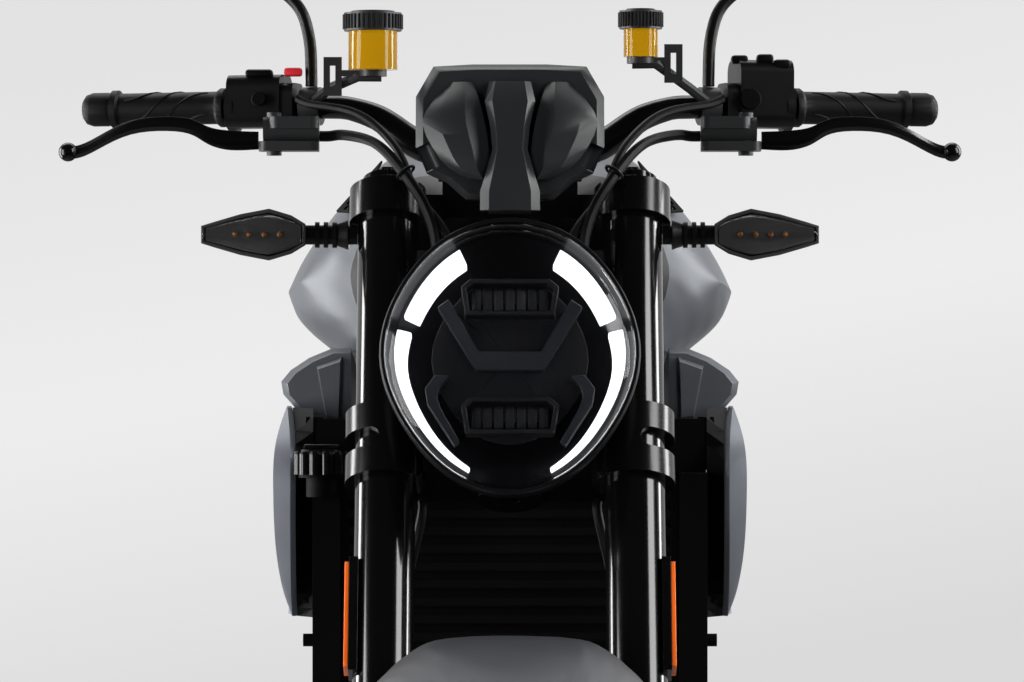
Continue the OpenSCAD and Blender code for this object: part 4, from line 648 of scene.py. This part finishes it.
class ROADSTER_OT_controls(bpy.types.Operator):
    """Adds switches, grip ribs, knurled caps and cable ties"""

    bl_idname = "roadster.controls"
    bl_label = "Add controls"

    def execute(self, context):
        self.add_switches()
        self.add_grip_ribs()
        self.add_cap_ribs()
        self.add_ties()
        return {"FINISHED"}

    def add_switches(self):
        """Buttons on the back, top and front of both housings, and the red stop switch."""
        bm = bmesh.new()
        back = 437
        add_box(bm, (232, back, 1120), (24, 9, 10), 2)
        add_box(bm, (248, back, 1138), (14, 8, 12), 2)
        add_rod(bm, (224, back - 4, 1100), (224, back + 5, 1100), 8, 7, 24)
        add_rod(bm, (-230, back - 4, 1104), (-230, back + 5, 1104), 9, 8, 24)
        for x, z in ((216, 1150), (240, 1151), (256, 1146)):
            add_box(bm, (x, 396, z), (16, 18, 8), 3)
        add_box(bm, (-236, 394, 1137), (26, 20, 7), 3)
        add_rod(bm, (226, 379, 1112), (226, 373.5, 1112), 10, 9, 24)
        add_rod(bm, (-236, 379, 1112), (-236, 374, 1112), 7, 6, 24)
        add_piece("switches", bm, "black_plastic", "steering")
        bm = bmesh.new()
        add_box(bm, (-204, 392, 1138), (17, 15, 8), 2.5)
        add_piece("stop_switch", bm, "red_plastic", "steering")

    def add_grip_ribs(self):
        """Slanted ribs that wind round each grip."""
        bm = bmesh.new()
        axis = (BAR_OUT - BAR_IN).normalized()
        u = axis.orthogonal().normalized()
        v = axis.cross(u)
        for start in range(4):
            path = []
            for i in range(15):
                a = 2 * math.pi * start / 4 + 1.9 * math.sin(math.pi * (i / 14 - 0.5))
                path.append(on_bar(284 + 5.6 * i) + (u * math.cos(a) + v * math.sin(a)) * 15.2)
            add_tube(bm, path, 1.1, 6)
            add_tube(bm, [flipped(p) for p in path], 1.1, 6)
        add_piece("grip_ribs", bm, "rubber", "steering")

    def add_cap_ribs(self):
        """Knurling and lids on the fluid jars, lobes on the radiator's cap, and strips behind its liners."""
        bm = bmesh.new()
        for at, r in JARS:
            for p in circle_points(at + UP * 9, UP, r, 40):
                add_rod(bm, p - UP * 7, p + UP * 6.5, 1.3, sides=8)
            add_rod(bm, at + UP * 17, at + UP * 19, r - 5, r - 7, 40)
        add_piece("jar_ribs", bm, "black_plastic", "steering")
        bm = bmesh.new()
        cap = RADIATOR_CAP
        for p in circle_points(cap, UP, 20.5, 12):
            add_rod(bm, p - UP * 8, p + UP * 11, 6.2, sides=16)
            add_rod(bm, p + UP * 11, p + UP * 13.5, 6.2, 4, 16)
        add_rod(bm, cap + UP * 11, cap + UP * 15, 22, 19, 36)
        add_box(bm, cap + UP * 17, (34, 9, 6), 2)
        for side in (1, -1):
            add_box(bm, (side * 184, 380, 789), (16, 3, 50), 0.6)
        add_piece("radiator_cap_ribs", bm, "black_metal", "chassis")

    def add_ties(self):
        """Ties that hold the lines together beside the fork."""
        bm = bmesh.new()
        ties = (
            ((68, 261, 965), (0, 0.12, 1)), ((96, 282, 1040), (0.6, 0.3, 0.8)), ((98, 160, 516), (0, 0.3, 1)),
        )
        for at, way in ties:
            for p in (Vector(at), flipped(at)):
                axis = Vector((way[0] if p.x > 0 else -way[0], way[1], way[2]))
                add_tube(bm, circle_points(p, axis, 9, 20), 1.6, 6, closed=True)
        add_piece("cable_ties", bm, "black_plastic", "steering")


class ROADSTER_OT_lamps(bpy.types.Operator):
    """Adds what shows inside the headlight, the indicators and the tail light"""

    bl_idname = "roadster.lamps"
    bl_label = "Add lamp details"

    def execute(self, context):
        self.add_headlight()
        self.add_indicators()
        self.add_tail_light()
        return {"FINISHED"}

    def add_headlight(self):
        """Silvered cells in both reflector frames, with small bright chips between them."""
        cells, chips = bmesh.new(), bmesh.new()
        tilt = Matrix.Rotation(-LAMP_TILT, 4, "X")
        for z in REFLECTOR_HEIGHTS:
            for i in range(7):
                turn = tilt @ Matrix.Rotation(math.radians(4 * (i - 3)), 4, "Z")
                add_box(cells, in_lamp(-30 + 10 * i, 15, z), (8.6, 5, 21), 1.6, turn)
            for i in range(6):
                add_box(chips, in_lamp(-25 + 10 * i, 13.5, z + 2), (0.9, 2, 13), 0.3, tilt)
        add_piece("reflector_cells", cells, "disc_steel", "steering")
        add_piece("reflector_glints", chips, "chrome_leg", "steering")

    def add_indicators(self):
        """A grey rim round each lens, with a plate and dim amber lights behind it."""
        rows = ((190, 9), (202, 16), (222, 22), (248, 17), (272, 10), (283, 7))
        middle, parting = 983, 289
        rims, lights, plates = bmesh.new(), bmesh.new(), bmesh.new()
        outline = [(x, parting, middle + h) for x, h in rows]
        outline += [(x, parting, middle - h) for x, h in reversed(rows)]
        for turn in (Vector, flipped):
            add_tube(rims, [turn(p) for p in outline], 1.9, 8, closed=True)
            inner = [
                turn((x + 0.06 * (232 - x), parting - 1, middle + 0.84 * (z - middle))) for x, _, z in outline
            ]
            plate = plates.faces.new([plates.verts.new(p) for p in inner])
            lifted = bmesh.ops.extrude_face_region(plates, geom=[plate])["geom"]
            front = [v for v in lifted if isinstance(v, bmesh.types.BMVert)]
            bmesh.ops.translate(plates, verts=front, vec=FRONT * 1.5)
            for x in (212, 226, 240, 253):
                centre = Matrix.Translation(turn((x, parting - 3.5, middle)))
                bmesh.ops.create_uvsphere(lights, u_segments=14, v_segments=8, radius=2.7, matrix=centre)
        add_piece("indicator_rims", rims, "satin_grey", "steering")
        add_piece("indicator_lights", lights, "dim_amber", "steering")
        add_piece("indicator_reflectors", plates, "satin_grey", "steering")

    def add_tail_light(self):
        """Ribs across the tail light's lens."""
        bm = bmesh.new()
        for i in range(9):
            add_box(bm, (-48 + 12 * i, 1508.6, 804.6), (8, 3, 20), 1)
        add_piece("tail_light_ribs", bm, "red_lens", "chassis")


class ROADSTER_OT_trim(bpy.types.Operator):
    """Adds the fuel cap's screws and its finger plate"""

    bl_idname = "roadster.trim"
    bl_label = "Add trim"

    def execute(self, context):
        bm = bmesh.new()
        for p in circle_points(FUEL_CAP, UP, 35, 6):
            add_bolt(bm, p, UP, 2.6, 2)
        add_box(bm, FUEL_CAP + Vector((0, -4, 1.5)), (18, 30, 4), 1.6)
        add_piece("cap_screws", bm, "steel", "fuel_cap")
        return {"FINISHED"}


# Seats


# Heights of the two bases, where the second starts, and the band above them that is held, in millimetres
RIDER_BASE, PILLION_BASE, PILLION_START, SEAT_HELD = 784, 826, 1265, 12
# The cover's mesh and the most that it may move, in metres, and how long it is pressed
SEAT_VOXEL, PRESS_LIMIT, PRESS_FRAMES = 0.006, 0.004, 20


class ROADSTER_OT_seats(bpy.types.Operator):
    """Covers both seats with a taut cloth over their foam"""

    bl_idname = "roadster.seats"
    bl_label = "Cover the seats"

    def execute(self, context):
        node = frame["nodes"]["seats"]
        seat = node.copy()
        seat.data = node.data.copy()
        seat.name = seat.data.name = "seat_covers"
        context.collection.objects.link(seat)
        seat.parent = None
        seat.matrix_world = node.matrix_world
        self.soften(context, seat)
        seat.data.materials.clear()
        seat.data.materials.append(bpy.data.materials[finish_name("seat")])
        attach(seat, "chassis")
        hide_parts("seats")
        return {"FINISHED"}

    def soften(self, context, seat):
        """An even skin over the foam, pressed outwards as cloth and held at its base."""
        seat.modifiers.clear()
        seat.data.transform(seat.matrix_world)
        seat.matrix_world = Matrix()
        bm = bmesh.new()
        bm.from_mesh(seat.data)
        bmesh.ops.remove_doubles(bm, verts=bm.verts, dist=0.0001)
        bm.to_mesh(seat.data)
        bm.free()
        context.view_layer.objects.active = seat
        skin = seat.modifiers.new("skin", "REMESH")
        skin.mode = "VOXEL"
        skin.voxel_size = SEAT_VOXEL
        ease = seat.modifiers.new("ease", "SMOOTH")
        ease.iterations = 6
        for modifier in (skin, ease):
            with context.temp_override(object=seat, active_object=seat):
                bpy.ops.object.modifier_apply(modifier=modifier.name)
        self.press(context, seat)
        smooth = seat.modifiers.new("smooth", "SUBSURF")
        smooth.levels = smooth.render_levels = 1
        seat.data.polygons.foreach_set("use_smooth", [True] * len(seat.data.polygons))

    def press(self, context, seat):
        """Some frames of cloth under pressure, pinned along the base, with its movement capped."""
        to_upright = upright_to_parked().inverted()
        start = [v.co.copy() for v in seat.data.vertices]
        held = seat.vertex_groups.new(name="held")
        for v in seat.data.vertices:
            p = to_upright @ v.co
            base = RIDER_BASE if p.y < PILLION_START else PILLION_BASE
            held.add([v.index], 1.0 if p.z < base + SEAT_HELD else 0.0, "REPLACE")
        cloth = seat.modifiers.new("cloth", "CLOTH")
        cloth.settings.quality = 4
        cloth.settings.use_pressure = True
        cloth.settings.uniform_pressure_force = 4
        cloth.settings.vertex_group_mass = "held"
        cloth.settings.effector_weights.gravity = 0
        cloth.point_cache.frame_start, cloth.point_cache.frame_end = 1, PRESS_FRAMES
        for number in range(1, PRESS_FRAMES + 1):
            context.scene.frame_set(number)
            context.view_layer.update()
        pressed = seat.evaluated_get(context.evaluated_depsgraph_get()).to_mesh()
        moved = []
        for old, v in zip(start, pressed.vertices):
            step = v.co - old
            moved.append(old + step * min(1.0, PRESS_LIMIT / max(step.length, 1e-9)))
        seat.modifiers.remove(cloth)
        for v, co in zip(seat.data.vertices, moved):
            v.co = co
        context.scene.frame_set(1)


# Stage


# Light that the room gives, and the share of the floor's paleness beside the machine that isn't lit
DIM = 0.03
FLOOR_NEAR = 0.45


class ROADSTER_OT_stage(bpy.types.Operator):
    """Builds the floor, the pale room, lights and camera"""

    bl_idname = "roadster.stage"
    bl_label = "Build the stage"

    def execute(self, context):
        stage = context.scene.roadster_stage
        self.add_floor(stage)
        self.add_lights(context, stage)
        self.add_camera(context, stage)
        self.add_world(context, stage)
        context.scene.view_settings.view_transform = "Standard"
        return {"FINISHED"}

    def add_world(self, context, stage):
        """A dim room that is seen as pale, brightest at the level of the machine."""
        world = bpy.data.worlds.new("studio")
        context.scene.world = world
        world.use_nodes = True
        tree = world.node_tree
        facing = tree.nodes.new("ShaderNodeTexCoord").outputs["Generated"]
        split = tree.nodes.new("ShaderNodeSeparateXYZ")
        fade = tree.nodes.new("ShaderNodeValToRGB")
        stops = fade.color_ramp.elements
        for slope, level in ((-0.07, stage.low), (0.0, stage.pale), (0.07, 0.9 * stage.pale)):
            stops.new(0.5 + slope).color = (level, level, level, 1)
        for end in (stops[-1], stops[0]):
            stops.remove(end)
        behind = tree.nodes.new("ShaderNodeMapRange")
        behind.interpolation_type = "SMOOTHSTEP"
        behind.inputs["From Min"].default_value = 0.05
        behind.inputs["From Max"].default_value = 0.45
        tree.links.new(facing, split.inputs[0])
        tree.links.new(calc(tree, "ADD", split.outputs["Z"], 0.5), fade.inputs["Fac"])
        tree.links.new(split.outputs["Y"], behind.inputs["Value"])
        level = calc(tree, "MAXIMUM", seen_share(tree, behind.outputs[0]), DIM)
        tree.links.new(fade.outputs["Color"], tree.nodes["Background"].inputs["Color"])
        tree.links.new(level, tree.nodes["Background"].inputs["Strength"])

    def add_floor(self, stage):
        """A round floor, wide enough to take the shadow, whose rim is as pale as the room."""
        bm = bmesh.new()
        bmesh.ops.create_circle(bm, cap_ends=True, segments=96, radius=stage.floor)
        mesh = bpy.data.meshes.new("floor")
        bm.to_mesh(mesh)
        bm.free()
        obj = bpy.data.objects.new("floor", mesh)
        bpy.context.collection.objects.link(obj)
        mesh.materials.append(self.floor_material(stage))

    def floor_material(self, stage):
        """Matt paper that holds the shadow near the machine and fades into the pale room at its rim."""
        mat = make_material("floor", (0.25, 0.25, 0.25), 0.9, 0, 60, 0)
        tree = mat.node_tree
        shader = tree.nodes["Principled BSDF"]
        shader.inputs["Specular IOR Level"].default_value = 0
        shader.inputs["Emission Color"].default_value = (1, 1, 1, 1)
        place = tree.nodes.new("ShaderNodeTexCoord").outputs["Object"]
        split = tree.nodes.new("ShaderNodeSeparateXYZ")
        reach = tree.nodes.new("ShaderNodeVectorMath")
        reach.operation = "LENGTH"
        far = tree.nodes.new("ShaderNodeMapRange")
        behind = tree.nodes.new("ShaderNodeMapRange")
        for node, start, end in ((far, 0.8, 1.9), (behind, 0.6, 3.4)):
            node.interpolation_type = "SMOOTHSTEP"
            node.inputs["From Min"].default_value = start
            node.inputs["From Max"].default_value = end
        paper = tree.nodes.new("ShaderNodeMix")
        paper.data_type = "RGBA"
        tree.links.new(shader.inputs["Base Color"].links[0].from_socket, paper.inputs["A"])
        paper.inputs["B"].default_value = (0, 0, 0, 1)
        tree.links.new(place, split.inputs[0])
        tree.links.new(place, reach.inputs[0])
        tree.links.new(reach.outputs["Value"], far.inputs["Value"])
        tree.links.new(split.outputs["Y"], behind.inputs["Value"])
        tree.links.new(far.outputs[0], paper.inputs["Factor"])
        tree.links.new(paper.outputs["Result"], shader.inputs["Base Color"])
        level = calc(tree, "MULTIPLY_ADD", far.outputs[0], stage.low - FLOOR_NEAR, FLOOR_NEAR)
        seen = calc(tree, "MULTIPLY", level, seen_share(tree, behind.outputs[0]))
        tree.links.new(seen, shader.inputs["Emission Strength"])
        return mat

    def add_lights(self, context, stage):
        """Tall soft boxes at both sides, one overhead, and fill from the front that no mirror shows."""
        boxes = [
            ("left_box", (-2.1, 0.25, 1.15), (0, -0.4, 0.8), 0.45, 2.2, 50),
            ("right_box", (2.1, 0.25, 1.15), (0, -0.4, 0.8), 0.45, 2.2, 47),
            ("top_box", (0, 0.9, 3.1), (0, -0.2, 0.9), 2.6, 1.2, 24),
            ("left_key", (-2.4, -1.3, 1.3), (0, -0.5, 0.8), 0.9, 2.0, 60),
            ("right_key", (2.4, -1.3, 1.3), (0, -0.5, 0.8), 0.9, 2.0, 56),
            ("left_fill", (-1.7, -4.4, 1.0), (0, -0.6, 0.8), 1.2, 1.8, 60),
            ("right_fill", (1.7, -4.4, 1.0), (0, -0.6, 0.8), 1.2, 1.8, 56),
        ]
        for name, place, target, wide, tall, power in boxes:
            light = bpy.data.lights.new(name, "AREA")
            light.shape = "RECTANGLE"
            light.size, light.size_y, light.energy = wide, tall, power * stage.light
            obj = bpy.data.objects.new(name, light)
            obj.location = place
            obj.rotation_euler = (Vector(target) - Vector(place)).to_track_quat("-Z", "Y").to_euler()
            obj.visible_glossy = obj.visible_transmission = not name.endswith("fill")
            context.collection.objects.link(obj)

    def add_camera(self, context, stage):
        """The photo's view, level with the leaning machine."""
        data = bpy.data.cameras.new("camera")
        data.sensor_width = 36
        data.lens = stage.lens
        data.shift_x = 0.00195
        cam = bpy.data.objects.new("camera", data)
        spot = Matrix.Translation((0, LAMP_FRONT - stage.distance / MM, stage.height / MM))
        placed = upright_to_parked() @ spot @ Matrix.Rotation(math.pi / 2, 4, "X")
        cam.location = placed.to_translation()
        cam.rotation_euler = placed.to_euler()
        context.collection.objects.link(cam)
        context.scene.camera = cam


class ROADSTER_PT_panel(bpy.types.Panel):
    """Sidebar panel with the settings and the steps"""

    bl_label = "Roadster"
    bl_idname = "ROADSTER_PT_panel"
    bl_space_type = "VIEW_3D"
    bl_region_type = "UI"
    bl_category = "Roadster"

    def draw(self, context):
        layout = self.layout
        for group in (context.scene.roadster_finish, context.scene.roadster_stage):
            for label in group.__annotations__:
                layout.prop(group, label)
        for step in STEPS:
            layout.operator(step.bl_idname)


STEPS = (
    ROADSTER_OT_nodes, ROADSTER_OT_fasteners, ROADSTER_OT_controls, ROADSTER_OT_lamps, ROADSTER_OT_trim,
    ROADSTER_OT_seats, ROADSTER_OT_stage,
)
CLASSES = (RoadsterFinish, RoadsterStage, *STEPS, ROADSTER_PT_panel)


def register():
    for cls in CLASSES:
        bpy.utils.register_class(cls)
    bpy.types.Scene.roadster_finish = bpy.props.PointerProperty(type=RoadsterFinish)
    bpy.types.Scene.roadster_stage = bpy.props.PointerProperty(type=RoadsterStage)


def unregister():
    del bpy.types.Scene.roadster_finish
    del bpy.types.Scene.roadster_stage
    for cls in reversed(CLASSES):
        bpy.utils.unregister_class(cls)


def main():
    register()
    for step in STEPS:
        area, action = step.bl_idname.split(".")
        getattr(getattr(bpy.ops, area), action)()


if __name__ == "__main__":
    main()
